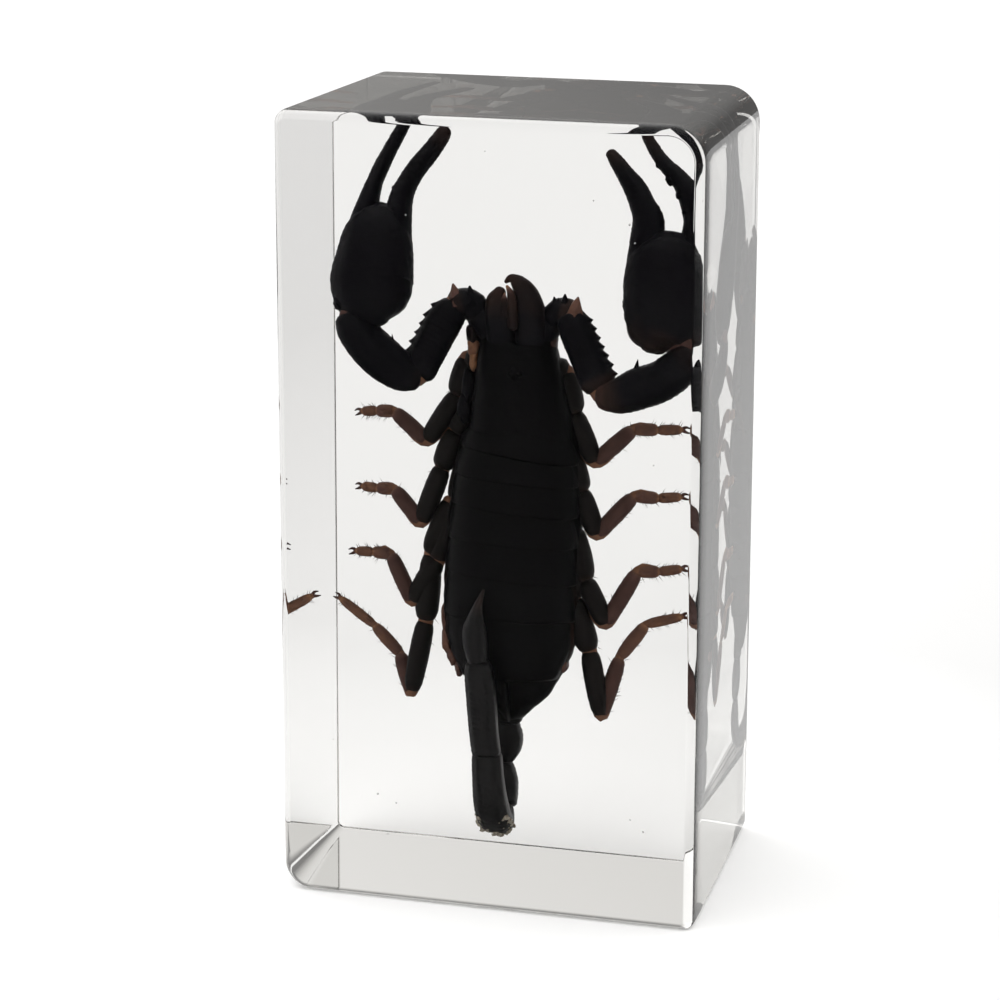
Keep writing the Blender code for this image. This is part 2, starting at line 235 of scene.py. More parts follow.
@dataclass(frozen=True)
class Cuticle:
    """The scorpion's skin, from black plates through brown feet to amber joint skin, as its tint says."""

    name: str
    granule: float = 0.5
    relief: float = 0.05
    gloss: float = 0.36
    gloss_change: float = 0.2
    shine: float = 0.05
    black: tuple = (0.0018, 0.0015, 0.0021)
    black_rise: float = 0.004
    black_end: float = 0.22
    browns: tuple = ((0.45, (0.032, 0.019, 0.016)), (0.70, (0.135, 0.073, 0.062)),
                     (0.86, (0.30, 0.15, 0.085)), (1.0, (0.50, 0.27, 0.12)))
    cloud_size: float = 2.4
    cloud_share: float = 0.16
    fleck_size: float = 0.35
    fleck_share: float = 0.10
    granule_height: float = 0.7
    fleck_height: float = 0.5
    fleck_gloss: float = 0.1

    def make(self) -> bpy.types.Material:
        """Build the material."""
        looks = Looks(bpy.data.materials.new(self.name))
        tint = looks.node("ShaderNodeAttribute", {"attribute_name": TINT}, output="Fac")
        cloud = looks.grain(self.cloud_size)
        fleck = looks.grain(self.fleck_size, 5.0)
        dull = tuple(part + self.black_rise for part in self.black)
        colour = looks.ramp(tint + self.cloud_share * (cloud - 0.5) + self.fleck_share * (fleck - 0.5),
                            [(0.0, self.black), (self.black_end, dull), *self.browns])
        cells = looks.node("ShaderNodeTexVoronoi", {"feature": "SMOOTH_F1"},
                           {"Vector": looks.place(), "Scale": 1.0 / (self.granule * MILLIMETRE)})
        height = (1.0 - cells) * self.granule_height + fleck * self.fleck_height
        gloss = self.gloss + (cloud - 0.5) * self.gloss_change + fleck * self.fleck_gloss
        return looks.finish({"Base Color": colour, "Roughness": gloss, "Specular IOR Level": self.shine,
                             "Normal": looks.bump(height, self.relief)})


BLACK_CUTICLE = Cuticle("black cuticle")
CLAW_CUTICLE = Cuticle("claw cuticle", granule=0.7, relief=0.08, black=(0.0024, 0.0019, 0.0036))
LEG_CUTICLE = Cuticle("leg cuticle", granule=0.3, relief=0.03, gloss=0.42, black=(0.0105, 0.0085, 0.008))
# The tail's black is lighter than the trunk's: partly the tail's own tone, partly a painted sheen for the
# glints on its front run.
TAIL_CUTICLE = Cuticle("tail cuticle", granule=0.4, shine=0.17, black=(0.0048, 0.0042, 0.0048))


@dataclass(frozen=True)
class DriedCrumb:
    """The pale crumbs of dried tissue at the tail's bend."""

    pale: tuple = (0.62, 0.57, 0.47)
    dark: tuple = (0.18, 0.13, 0.09)
    patch_size: float = 0.5
    pore_size: float = 0.15
    pore_depth: float = 0.08
    roughness: float = 0.85

    def make(self) -> bpy.types.Material:
        """Build the material."""
        looks = Looks(bpy.data.materials.new("dried crumb"))
        colour = looks.ramp(looks.grain(self.patch_size, 4.0), [(0.3, self.dark), (0.62, self.pale)])
        pores = looks.bump(looks.grain(self.pore_size, 4.0), self.pore_depth)
        return looks.finish({"Base Color": colour, "Roughness": self.roughness, "Normal": pores})


@dataclass(frozen=True)
class Bristle:
    """The hairs of the legs, darker in places."""

    colour: tuple = (0.06, 0.028, 0.018)
    dark: tuple = (0.024, 0.0112, 0.0072)
    patch_size: float = 1.5
    roughness: float = 0.4

    def make(self) -> bpy.types.Material:
        """Build the material."""
        looks = Looks(bpy.data.materials.new("bristle"))
        colour = looks.ramp(looks.grain(self.patch_size), [(0.35, self.dark), (0.65, self.colour)])
        return looks.finish({"Base Color": colour, "Roughness": self.roughness})


@dataclass(frozen=True)
class PaleFloor:
    """The pale sheet under the block, with a painted pool of light that makes it brighter close by and
    painted shade that makes it darker far to the right and behind.
    """

    # The near and far colours carry the painted shade; the pool's gains carry the painted light round the
    # block.
    near: tuple = (0.77, 0.77, 0.77)
    far: tuple = (0.64, 0.64, 0.64)
    far_end: float = 0.4
    painted_shade_right: float = 3.2
    painted_shade_back: float = 0.3
    painted_light_pool: tuple = ((0.035, 1.34), (0.07, 1.16), (0.12, 1.0))
    roughness: float = 0.8

    def make(self) -> bpy.types.Material:
        """Build the material."""
        looks = Looks(bpy.data.materials.new("pale floor"))
        place = looks.place()
        # Painted shade: the colour runs from near to far, darker towards the right and behind.
        painted_shade = looks.part(place, "X") * self.painted_shade_right + looks.part(place, "Y") * self.painted_shade_back
        away = looks.node("ShaderNodeVectorMath", {"operation": "LENGTH"}, {"Vector": place}, output="Value")
        sheet = looks.ramp(painted_shade, [(0.0, self.near), (self.far_end, self.far)])
        # Painted light: a pool of extra brightness in the colour close round the block, lightening the
        # block's contact shadow.
        painted_light_pool = looks.ramp(away, [(reach, (gain,) * 3) for reach, gain in self.painted_light_pool])
        colour = looks.node("ShaderNodeVectorMath", {"operation": "MULTIPLY"}, {0: sheet, 1: painted_light_pool})
        return looks.finish({"Base Color": colour, "Roughness": self.roughness, "Specular IOR Level": 0.0})


def at(across: float, depth: float, height: float) -> Vector:
    """A place in the block as a vector in the row frame, still in millimetres."""
    return Vector((across, depth - BLOCK_DEPTH / 2, height))


@dataclass(frozen=True)
class Station:
    """One cross-section of a limb; tint runs from 0, black, through brown to 1, amber."""

    across: float
    depth: float
    height: float
    half_width: float
    half_depth: float
    tint: float = 0.0

    def parts(self) -> tuple[float, ...]:
        """All of its numbers, for blending."""
        return (self.across, self.depth, self.height, self.half_width, self.half_depth, self.tint)

    def middle(self) -> Vector:
        """Its middle in the row frame, still in millimetres."""
        return at(self.across, self.depth, self.height)

    def scaled(self, factor: float, tint: float) -> "Station":
        """The same cross-section, smaller or larger, in another tint."""
        return replace(self, half_width=self.half_width * factor, half_depth=self.half_depth * factor,
                       tint=tint)


def line(*rows: tuple) -> tuple[Station, ...]:
    """Cross-sections from rows of plain numbers, in the order of a station's fields."""
    return tuple(Station(*row) for row in rows)


def smooth_line(stations: Sequence[Station], step: float) -> list[Station]:
    """Cross-sections at even steps on a Catmull-Rom curve through a few.

    Args:
        stations: The given cross-sections.
        step: The distance between the new ones, in millimetres.

    Returns:
        The close cross-sections.
    """
    rows = [stations[0], *stations, stations[-1]]
    close = []
    for before, start, end, after in zip(rows, rows[1:], rows[2:], rows[3:]):
        count = max(1, math.ceil((end.middle() - start.middle()).length / step))
        for index in range(count):
            t = index / count
            weights = (t * (-0.5 + t * (1.0 - 0.5 * t)), 1.0 + t * t * (-2.5 + 1.5 * t),
                       t * (0.5 + t * (2.0 - 1.5 * t)), t * t * (-0.5 + 0.5 * t))
            numbers = zip(before.parts(), start.parts(), end.parts(), after.parts())
            close.append(Station(*(sum(w * part for w, part in zip(weights, four)) for four in numbers)))
    close.append(stations[-1])
    return close


@dataclass(frozen=True)
class Keel:
    """A toothed ridge along a limb: its angle round the limb, tooth height, pitch and spread in degrees."""

    angle: float
    height: float
    pitch: float
    spread: float = 11.0
    reach: float = 3.0
    foot: float = 0.2
    bite: float = 1.6

    def lift(self, turn: float, travelled: float) -> float:
        """How far the ridge stands out.

        Args:
            turn: The angle round the limb, in degrees.
            travelled: How far along the limb, in millimetres.

        Returns:
            The height in millimetres.
        """
        gap = abs((turn - self.angle + 180.0) % 360.0 - 180.0)
        if gap > self.reach * self.spread:
            return 0.0
        tooth = (travelled / self.pitch) % 1.0
        share = self.foot + (1.0 - self.foot) * tooth ** self.bite
        return self.height * share * math.exp(-((gap / self.spread) ** 2))


def to_mesh(shape: bmesh.types.BMesh) -> bpy.types.Mesh:
    """Turn a bmesh into a mesh and free it."""
    mesh = bpy.data.meshes.new("part")
    shape.to_mesh(mesh)
    shape.free()
    return mesh


def loft(sides: int, rings: Sequence[tuple], place: Callable[..., tuple[Vector, float]]) -> bmesh.types.BMesh:
    """Grow a closed skin from a circle, ring by ring.

    Args:
        sides: How many points a ring has.
        rings: What each ring's points are worked out from.
        place: Gives a point's place and tint from its number in the ring and what the ring says.

    Returns:
        The skin, with its faces outwards.
    """
    shape = bmesh.new()
    order_layer = shape.verts.layers.int.new(ORDER)
    tint_layer = shape.verts.layers.float.new(TINT)
    ring = bmesh.ops.create_circle(shape, segments=sides, radius=1.0)["verts"]
    for order, vertex in enumerate(ring):
        vertex[order_layer] = order
    edges = first_edges = shape.edges[:]
    for index, said in enumerate(rings):
        if index:
            grown = bmesh.ops.extrude_edge_only(shape, edges=edges)["geom"]
            ring = [part for part in grown if isinstance(part, bmesh.types.BMVert)]
            edges = [part for part in grown if isinstance(part, bmesh.types.BMEdge)]
        for vertex in ring:
            vertex.co, vertex[tint_layer] = place(vertex[order_layer], *said)
    bmesh.ops.edgeloop_fill(shape, edges=first_edges)
    bmesh.ops.edgeloop_fill(shape, edges=edges)
    bmesh.ops.recalc_face_normals(shape, faces=shape.faces[:])
    return shape


@dataclass(frozen=True)
class Skin:
    """How a limb's skin is swept along its line."""

    sides: int = 16
    step: float = 0.5
    lie: Lie = Lie.FLAT
    square: float = 2.0
    near: float = 1.0
    far: float = 1.0
    start_dome: float = 0.6
    end_dome: float = 0.6
    keels: tuple[Keel, ...] = ()
    keel_ease: float = 0.6
    least_reach: float = 0.05
    rough: float = 0.03
    rough_size: float = 0.8
    fine_scale: float = 2.3
    fine_share: float = 0.5

    def axes(self, along: Vector) -> tuple[Vector, Vector]:
        """The wide way and the thin way of a cross-section.

        Args:
            along: The limb's direction there.

        Returns:
            Both directions, the second towards the front face on a limb that runs up the block.
        """
        if self.lie is Lie.FLAT:
            front = Vector((0.0, -1.0, 0.0))
            thin = (front - along * front.dot(along)).normalized()
            return along.cross(thin), thin
        side = Vector((1.0, 0.0, 0.0))
        wide = (side - along * side.dot(along)).normalized()
        return wide, wide.cross(along)

    def point(self, order: int, station: Station, along: Vector, travelled: float) -> tuple[Vector, float]:
        """A point of the skin.

        Args:
            order: The point's number in its ring.
            station: The cross-section.
            along: The limb's direction there.
            travelled: How far along the limb, in millimetres.

        Returns:
            The point in the row frame, in millimetres, and its tint.
        """
        wide, thin = self.axes(along)
        turn = math.tau * order / self.sides
        power = 2.0 / self.square
        x = math.copysign(abs(math.cos(turn)) ** power, math.cos(turn)) * station.half_width
        y = math.copysign(abs(math.sin(turn)) ** power, math.sin(turn)) * station.half_depth
        y *= self.near if y > 0 else self.far
        reach = math.hypot(x, y)
        lift = sum(keel.lift(math.degrees(turn), travelled) for keel in self.keels)
        grow = 1.0 + lift * min(1.0, reach / self.keel_ease) / max(reach, self.least_reach)
        return station.middle() + wide * (x * grow) + thin * (y * grow), station.tint

    def rings(self, stations: Sequence[Station]) -> list[tuple[Station, Vector, float]]:
        """The cross-sections with their directions, closed by a dome at each end.

        Args:
            stations: The given cross-sections.

        Returns:
            Each cross-section, the limb's direction there, and the distance travelled.
        """
        close = smooth_line(stations, self.step)
        points = [station.middle() for station in close]
        ways = [(points[min(i + 1, len(points) - 1)] - points[max(i - 1, 0)]).normalized()
                for i in range(len(points))]
        travelled = [0.0]
        for first, second in zip(points, points[1:]):
            travelled.append(travelled[-1] + (second - first).length)
        body = list(zip(close, ways, travelled))
        head = [self._dome_ring(*body[0], -self.start_dome, turn) for turn in reversed(DOME_TURNS)]
        tail = [self._dome_ring(*body[-1], self.end_dome, turn) for turn in DOME_TURNS]
        return head + body + tail

    @staticmethod
    def _dome_ring(station: Station, along: Vector, travelled: float, length: float,
                   turn: float) -> tuple[Station, Vector, float]:
        """One ring of an end's dome.

        Args:
            station: The end's cross-section.
            along: The limb's direction there.
            travelled: How far along the limb the end is.
            length: The dome's length as a share of the half width, below 0 at the limb's start.
            turn: How far round the dome the ring is, in degrees.

        Returns:
            The ring.
        """
        shrink = math.cos(math.radians(turn))
        move = along * (math.sin(math.radians(turn)) * length * station.half_width)
        ring = Station(station.across + move.x, station.depth + move.y, station.height + move.z,
                       station.half_width * shrink, station.half_depth * shrink, station.tint)
        return ring, along, travelled

    def sweep(self, stations: Sequence[Station]) -> bmesh.types.BMesh:
        """Build the closed skin along a line.

        Args:
            stations: The given cross-sections.

        Returns:
            The skin in millimetres in the row frame, with its tint.
        """
        shape = loft(self.sides, self.rings(stations), self.point)
        shape.normal_update()
        for vertex in shape.verts:
            where = vertex.co / self.rough_size
            bump = noise.noise(where) + self.fine_share * noise.noise(where * self.fine_scale)
            vertex.co += vertex.normal * (bump * self.rough)
        return shape


def stand(name: str, shape: bmesh.types.BMesh, material: bpy.types.Material) -> bpy.types.Object:
    """Put a shape into the scene.

    Args:
        name: The object's name.
        shape: Its shape in metres in the row frame.
        material: Its finish.

    Returns:
        The object.
    """
    mesh = to_mesh(shape)
    mesh.name = name
    mesh.materials.append(material)
    made = bpy.data.objects.new(name, mesh)
    bpy.context.scene.collection.objects.link(made)
    return made


def show(name: str, shape: bmesh.types.BMesh, material: bpy.types.Material,
         stands_for: Sequence[str]) -> bpy.types.Object:
    """Make a piece of the object, and say what it rides on and stands for.

    Args:
        name: The piece's name.
        shape: Its shape in metres in the row frame.
        material: Its finish.
        stands_for: The nodes that it replaces.

    Returns:
        The piece.
    """
    piece = stand(name, shape, material)
    piece.data.shade_smooth()
    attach(piece, "root")
    if stands_for:
        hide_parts(*stands_for)
    LOG.info("%s: %d faces", name, len(piece.data.polygons))
    return piece


class Piece:
    """A piece of the scorpion or the resin that is put together from limbs, lumps and spikes."""

    def __init__(self, name: str) -> None:
        """Start an empty piece with the given name.

        Args:
            name: The piece's name.
        """
        self.name = name
        self.shape = bmesh.new()
        self.shape.verts.layers.float.new(TINT)

    def limb(self, skin: Skin, stations: Sequence[Station],
             carve: Callable[[Vector], Vector] | None = None) -> None:
        """Sweep a limb's skin and take it into the piece.

        Args:
            skin: How it is swept.
            stations: The cross-sections that it goes through.
            carve: Gives a point's new place from its old one, both in millimetres.
        """
        shape = skin.sweep(stations)
        for vertex in shape.verts:
            vertex.co = (carve(vertex.co) if carve else vertex.co) * MILLIMETRE
        mesh = to_mesh(shape)
        self.shape.from_mesh(mesh)
        bpy.data.meshes.remove(mesh)

    def lump(self, place: Sequence[float], size: Sequence[float], tint: float = 0.0, rough: float = 0.0,
             detail: int = 2) -> None:
        """Add a rounded lump, such as an eye, a granule or a crumb.

        Args:
            place: Its middle: across, depth and height.
            size: Its half sizes the same three ways.
            tint: Its tint.
            rough: How uneven it is, as a share of its size.
            detail: How finely it is divided.
        """
        middle = at(*place)
        made = bmesh.ops.create_icosphere(self.shape, subdivisions=detail, radius=1.0)["verts"]
        layer = self.shape.verts.layers.float[TINT]
        for vertex in made:
            swell = 1.0 + rough * noise.noise(vertex.co * LUMP_WAVES + middle * LUMP_SHIFT)
            way = Vector([part * half for part, half in zip(vertex.co, size)])
            vertex.co = (middle + way * swell) * MILLIMETRE
            vertex[layer] = tint

    def spike(self, base: Vector, tip: Vector, radius: float, tint: float, sides: int = 6) -> None:
        """Add a pointed cone, such as a spine, a tooth or a hair.

        Args:
            base: The middle of its foot in the row frame, in millimetres.
            tip: Its point.
            radius: The radius of its foot.
            tint: Its tint.
            sides: How many sides it has.
        """
        along = tip - base
        turn = along.to_track_quat("Z", "Y").to_matrix().to_4x4()
        place = Matrix.Scale(MILLIMETRE, 4) @ Matrix.Translation((base + tip) / 2) @ turn
        made = bmesh.ops.create_cone(self.shape, cap_ends=True, segments=sides, radius1=radius,
                                     radius2=radius * TIP_SHARE, depth=along.length, matrix=place)["verts"]
        layer = self.shape.verts.layers.float[TINT]
        for vertex in made:
            vertex[layer] = tint

    def done(self, material: bpy.types.Material,
             stands_for: Sequence[str] = (SCORPION_NODE,)) -> None:
        """Show the piece with its finish, in place of the nodes that it replaces."""
        show(self.name, self.shape, material, stands_for)


def quarter_round(radius: float, steps: int) -> tuple:
    """A rim in the shape of a quarter circle, as pairs of inset and depth."""
    turns = [math.radians(90.0 * step / steps) for step in range(steps + 1)]
    return tuple((radius * (1.0 - math.sin(turn)), radius * (1.0 - math.cos(turn))) for turn in turns)


@dataclass(frozen=True)
class ResinBlock:
    """The cast block, sawn nearly square at the back and ground by hand round its front face.

    Corner radii go round from the top right corner to the bottom right one. The right side leans a little. A
    rim is given as pairs of the inset from its side and the depth behind the front face.
    """

    left: float = 29.5
    right: float = 30.5
    right_lean_back: float = 0.0232
    right_lean_up: float = 0.0027
    front_corners: tuple = (5.0, 1.8, 4.0, 0.8)
    back_corners: tuple = (5.0, 3.2, 1.0, 1.0)
    least_corner: float = 0.4
    right_rim: tuple = ((1.50, 0.0), (1.41, 0.01), (1.33, 0.05), (1.24, 0.13), (0.94, 0.507), (0.62, 0.947),
                        (0.36, 1.363), (0.29, 1.52), (0.22, 1.80), (0.15, 2.30), (0.07, 3.4), (0.0, 6.0))
    top_rim: tuple = ((1.35, 0.0), (1.26, 0.01), (1.18, 0.05), (1.08, 0.12), (0.85, 0.35), (0.62, 0.60),
                      (0.42, 0.88), (0.28, 1.15), (0.17, 1.45), (0.09, 1.8), (0.03, 2.3), (0.0, 3.0))
    left_rim: tuple = quarter_round(1.3, 11)
    bottom_rim: tuple = quarter_round(0.9, 11)
    back_rim: tuple = quarter_round(0.25, 2)
    corner_steps: int = 12

    def build(self) -> None:
        """Build the block and put it in place of its two halves."""
        front = zip(self.right_rim, self.top_rim, self.left_rim, self.bottom_rim)
        rings = [(self.front_corners, rims, 1) for rims in front]
        rings += [(self.back_corners, (rim,) * 4, -1) for rim in reversed(self.back_rim)]
        shape = loft(4 * (self.corner_steps + 1), rings, self._point)
        block = show("resin_block", shape, ClearResin().make(), ("resin_front", "resin_back"))
        even = block.modifiers.new("even shading", "WEIGHTED_NORMAL")
        even.mode = "FACE_AREA"
        even.weight = 100

    def _point(self, order: int, corners: Sequence[float], rims: Sequence[tuple],
               facing: int) -> tuple[Vector, float]:
        """A point of the block's skin.

        Args:
            order: Which point round the outline it is, from the right end of the top right corner.
            corners: The four corner radii where the rims have ended.
            rims: The inset and depth of each side's rim: right, top, left and bottom.
            facing: 1 for depths behind the front face, minus 1 for depths before the back face.

        Returns:
            The point in the row frame, in metres, and no tint.
        """
        corner, step = divmod(order, self.corner_steps + 1)
        share = step / self.corner_steps
        turn = math.radians(90.0 * (corner + share))
        near, far = rims[corner], rims[(corner + 1) % 4]
        sink = near[1] * (1.0 - share) + far[1] * share
        radius = max(self.least_corner, corners[corner] - (near[0] + far[0]) / 2)
        side = (1, -1, -1, 1)[corner]
        end = (1, 1, -1, -1)[corner]
        across = self.right - rims[0][0] if side > 0 else self.left - rims[2][0]
        up = BLOCK_HEIGHT - rims[1][0] if end > 0 else rims[3][0]
        depth = sink if facing > 0 else BLOCK_DEPTH - sink
        height = up - end * radius + radius * math.sin(turn)
        place = at(side * (across - radius) + radius * math.cos(turn), depth, height)
        if side > 0:
            place.x -= depth * self.right_lean_back + height * self.right_lean_up
        return place * MILLIMETRE, 0.0


@dataclass(frozen=True)
class Specks:
    """The few fine bubbles and specks in the resin, as across, depth, height and radius."""

    bubbles: tuple = ((-21.0, 30.0, 8.6, 0.16), (-17.4, 26.0, 8.4, 0.13), (-17.6, 20.0, 4.9, 0.15),
                      (17.2, 30.0, 8.4, 0.13), (19.4, 28.0, 7.2, 0.16), (18.4, 12.0, 97.4, 0.16),
                      (19.2, 12.0, 94.9, 0.13), (22.8, 8.0, 65.0, 0.12), (-12.4, 9.0, 97.5, 0.11),
                      (-24.6, 14.0, 20.0, 0.10), (10.0, 34.0, 98.0, 0.12), (-6.0, 36.0, 104.0, 0.10))

    def build(self) -> None:
        """Build all of them as one piece."""
        piece = Piece("resin_specks")
        for *place, radius in self.bubbles:
            piece.lump(place, (radius,) * 3)
        piece.done(AirBubble().make(), ())


@dataclass(frozen=True)
class Groove:
    """A groove in the head shield: how deep it is and half how wide."""

    depth: float
    width: float

    def sink(self, gap: float) -> float:
        """How far the skin sinks at a distance from the groove's line."""
        return self.depth * math.exp(-((gap / self.width) ** 2))


@dataclass(frozen=True)
class HeadShield:
    """The shield over the head, notched in front and furrowed down its middle, with its eyes."""

    rows: tuple = line((1.3, 26.1, 65.2, 7.6, 5.4), (1.3, 26.0, 68.0, 7.4, 5.4), (1.1, 25.8, 71.5, 6.8, 5.2),
                       (0.9, 25.5, 75.0, 6.1, 4.7), (0.8, 25.3, 78.2, 5.5, 3.9), (0.8, 25.2, 79.6, 5.0, 3.2))
    skin: Skin = Skin(sides=72, step=0.4, square=2.5, start_dome=0.1, end_dome=0.22, rough=0.06,
                      rough_size=0.7)
    middle: float = 1.05
    upper_side: float = 3.0
    furrow: Groove = Groove(0.35, 0.5)
    mound_heights: tuple = (73.1, 75.9)
    mound_share: float = 0.2
    fork: Groove = Groove(0.25, 0.6)
    fork_top: float = 70.1
    fork_slope: float = 0.7
    notch: Groove = Groove(1.3, 1.5)
    notch_start: float = 77.1
    notch_length: float = 3.0
    mound: tuple = ((1.05, 21.2, 74.5), (1.0, 0.6, 1.2))
    eye: tuple = (0.62, 20.85, 74.6)
    eye_radius: float = 0.42
    side_eyes: tuple = ((4.3, 77.0), (4.05, 77.62), (3.8, 78.24))
    side_eye_middle: float = 0.95
    side_eye_depth: float = 23.6
    side_eye_radius: float = 0.26

    def add_to(self, piece: Piece) -> None:
        """Add the shield and its eyes.

        Args:
            piece: The piece that takes them.
        """
        piece.limb(self.skin, self.rows, self._carve)
        piece.lump(*self.mound)
        across, depth, height = self.eye
        for side in (-1, 1):
            piece.lump((self.middle + side * across, depth, height), (self.eye_radius,) * 3, detail=FINE)
            for gap, up in self.side_eyes:
                piece.lump((self.side_eye_middle + side * gap, self.side_eye_depth, up),
                           (self.side_eye_radius,) * 3)

    def _carve(self, point: Vector) -> Vector:
        """Sink the middle line and the fork behind it, and notch the front edge.

        Args:
            point: A point of the shield's skin in the row frame, in millimetres.

        Returns:
            Its new place.
        """
        gap = point.x - self.middle
        moved = point.copy()
        if point.y < self.upper_side:
            low, high = self.mound_heights
            moved.y += self.furrow.sink(gap) * (self.mound_share if low <= point.z <= high else 1.0)
            if point.z < self.fork_top:
                moved.y += self.fork.sink(abs(gap) - (self.fork_top - point.z) * self.fork_slope)
        if point.z > self.notch_start:
            moved.z -= self.notch.sink(gap) * (point.z - self.notch_start) / self.notch_length
        return moved


def section(rows: Sequence[Station], height: float) -> Station:
    """The cross-section at a height.

    Args:
        rows: Close cross-sections from the top down.
        height: The height in millimetres.

    Returns:
        The cross-section.
    """
    for upper, lower in zip(rows, rows[1:]):
        if lower.height <= height <= upper.height:
            t = (upper.height - height) / (upper.height - lower.height)
            return Station(*((1 - t) * a + t * b for a, b in zip(upper.parts(), lower.parts())))
    return rows[0] if height > rows[0].height else rows[-1]


@dataclass(frozen=True)
class Plates:
    """A run of hard plates, the rear edge of each standing over the front edge of the next."""

    heights: tuple
    tints: tuple
    depth: float
    side_inset: float
    depth_inset: float
    swells: tuple
    depth_swell: float
    skin: Skin
    keels: tuple = ()
    keels_from: int = 0
    overlap: float = 0.7
    front_edge: float = 0.4
    rear_edge: float = 0.5

    def add_to(self, piece: Piece, body: Sequence[Station]) -> None:
        """Sweep every plate.

        Args:
            piece: The piece that takes them.
            body: The body's close cross-sections from the top down.
        """
        for index, (top, bottom, tint) in enumerate(zip(self.heights, self.heights[1:], self.tints)):
            marks = (top + self.overlap, top - self.front_edge, (top + bottom) / 2,
                     bottom + self.rear_edge, bottom)
            rows = []
            for height, swell in zip(marks, self.swells):
                cut = section(body, height)
                rows.append(Station(cut.across, self.depth, height, cut.half_width - self.side_inset + swell,
                                    cut.half_depth - self.depth_inset + swell * self.depth_swell, tint))
            skin = replace(self.skin, keels=self.keels) if index >= self.keels_from else self.skin
            piece.limb(skin, rows)


@dataclass(frozen=True)
class Combs:
    """The two combs behind the last legs, with the plates in front of them."""

    middle: float = 0.8
    rows: tuple = ((0.6, 33.2, 63.2, 0.7, 0.5, 0.45), (2.8, 33.5, 61.4, 0.75, 0.5, 0.45),
                   (6.2, 32.6, 59.0, 0.45, 0.4, 0.5))
    skin: Skin = Skin(sides=16, step=0.4, start_dome=0.5, end_dome=0.5)
    tooth_count: int = 15
    first_tooth: tuple = (1.075, 33.6, 62.325)
    tooth_run: tuple = (5.1, -0.8, -3.9)
    tooth_size: tuple = (0.17, 0.2, 0.72)
    tooth_tint: float = 0.62
    plate_rough: float = 0.05
    plates: tuple = (((0.85, 33.0, 64.4), (1.5, 0.6, 1.1), 0.3), ((0.9, 32.0, 67.4), (1.0, 0.7, 1.9), 0.25))

    def add_to(self, piece: Piece) -> None:
        """Add the combs and the plates.

        Args:
            piece: The piece that takes them.
        """
        across, depth, height = self.first_tooth
        out, back, down = self.tooth_run
        for side in (-1, 1):
            piece.limb(self.skin, line(*((self.middle + side * gap, *rest) for gap, *rest in self.rows)))
            for index in range(self.tooth_count):
                t = (index + 0.5) / self.tooth_count
                place = (self.middle + side * (across + out * t), depth + back * t * t, height + down * t)
                piece.lump(place, self.tooth_size, self.tooth_tint)
        for place, size, tint in self.plates:
            piece.lump(place, size, tint, self.plate_rough, FINE)


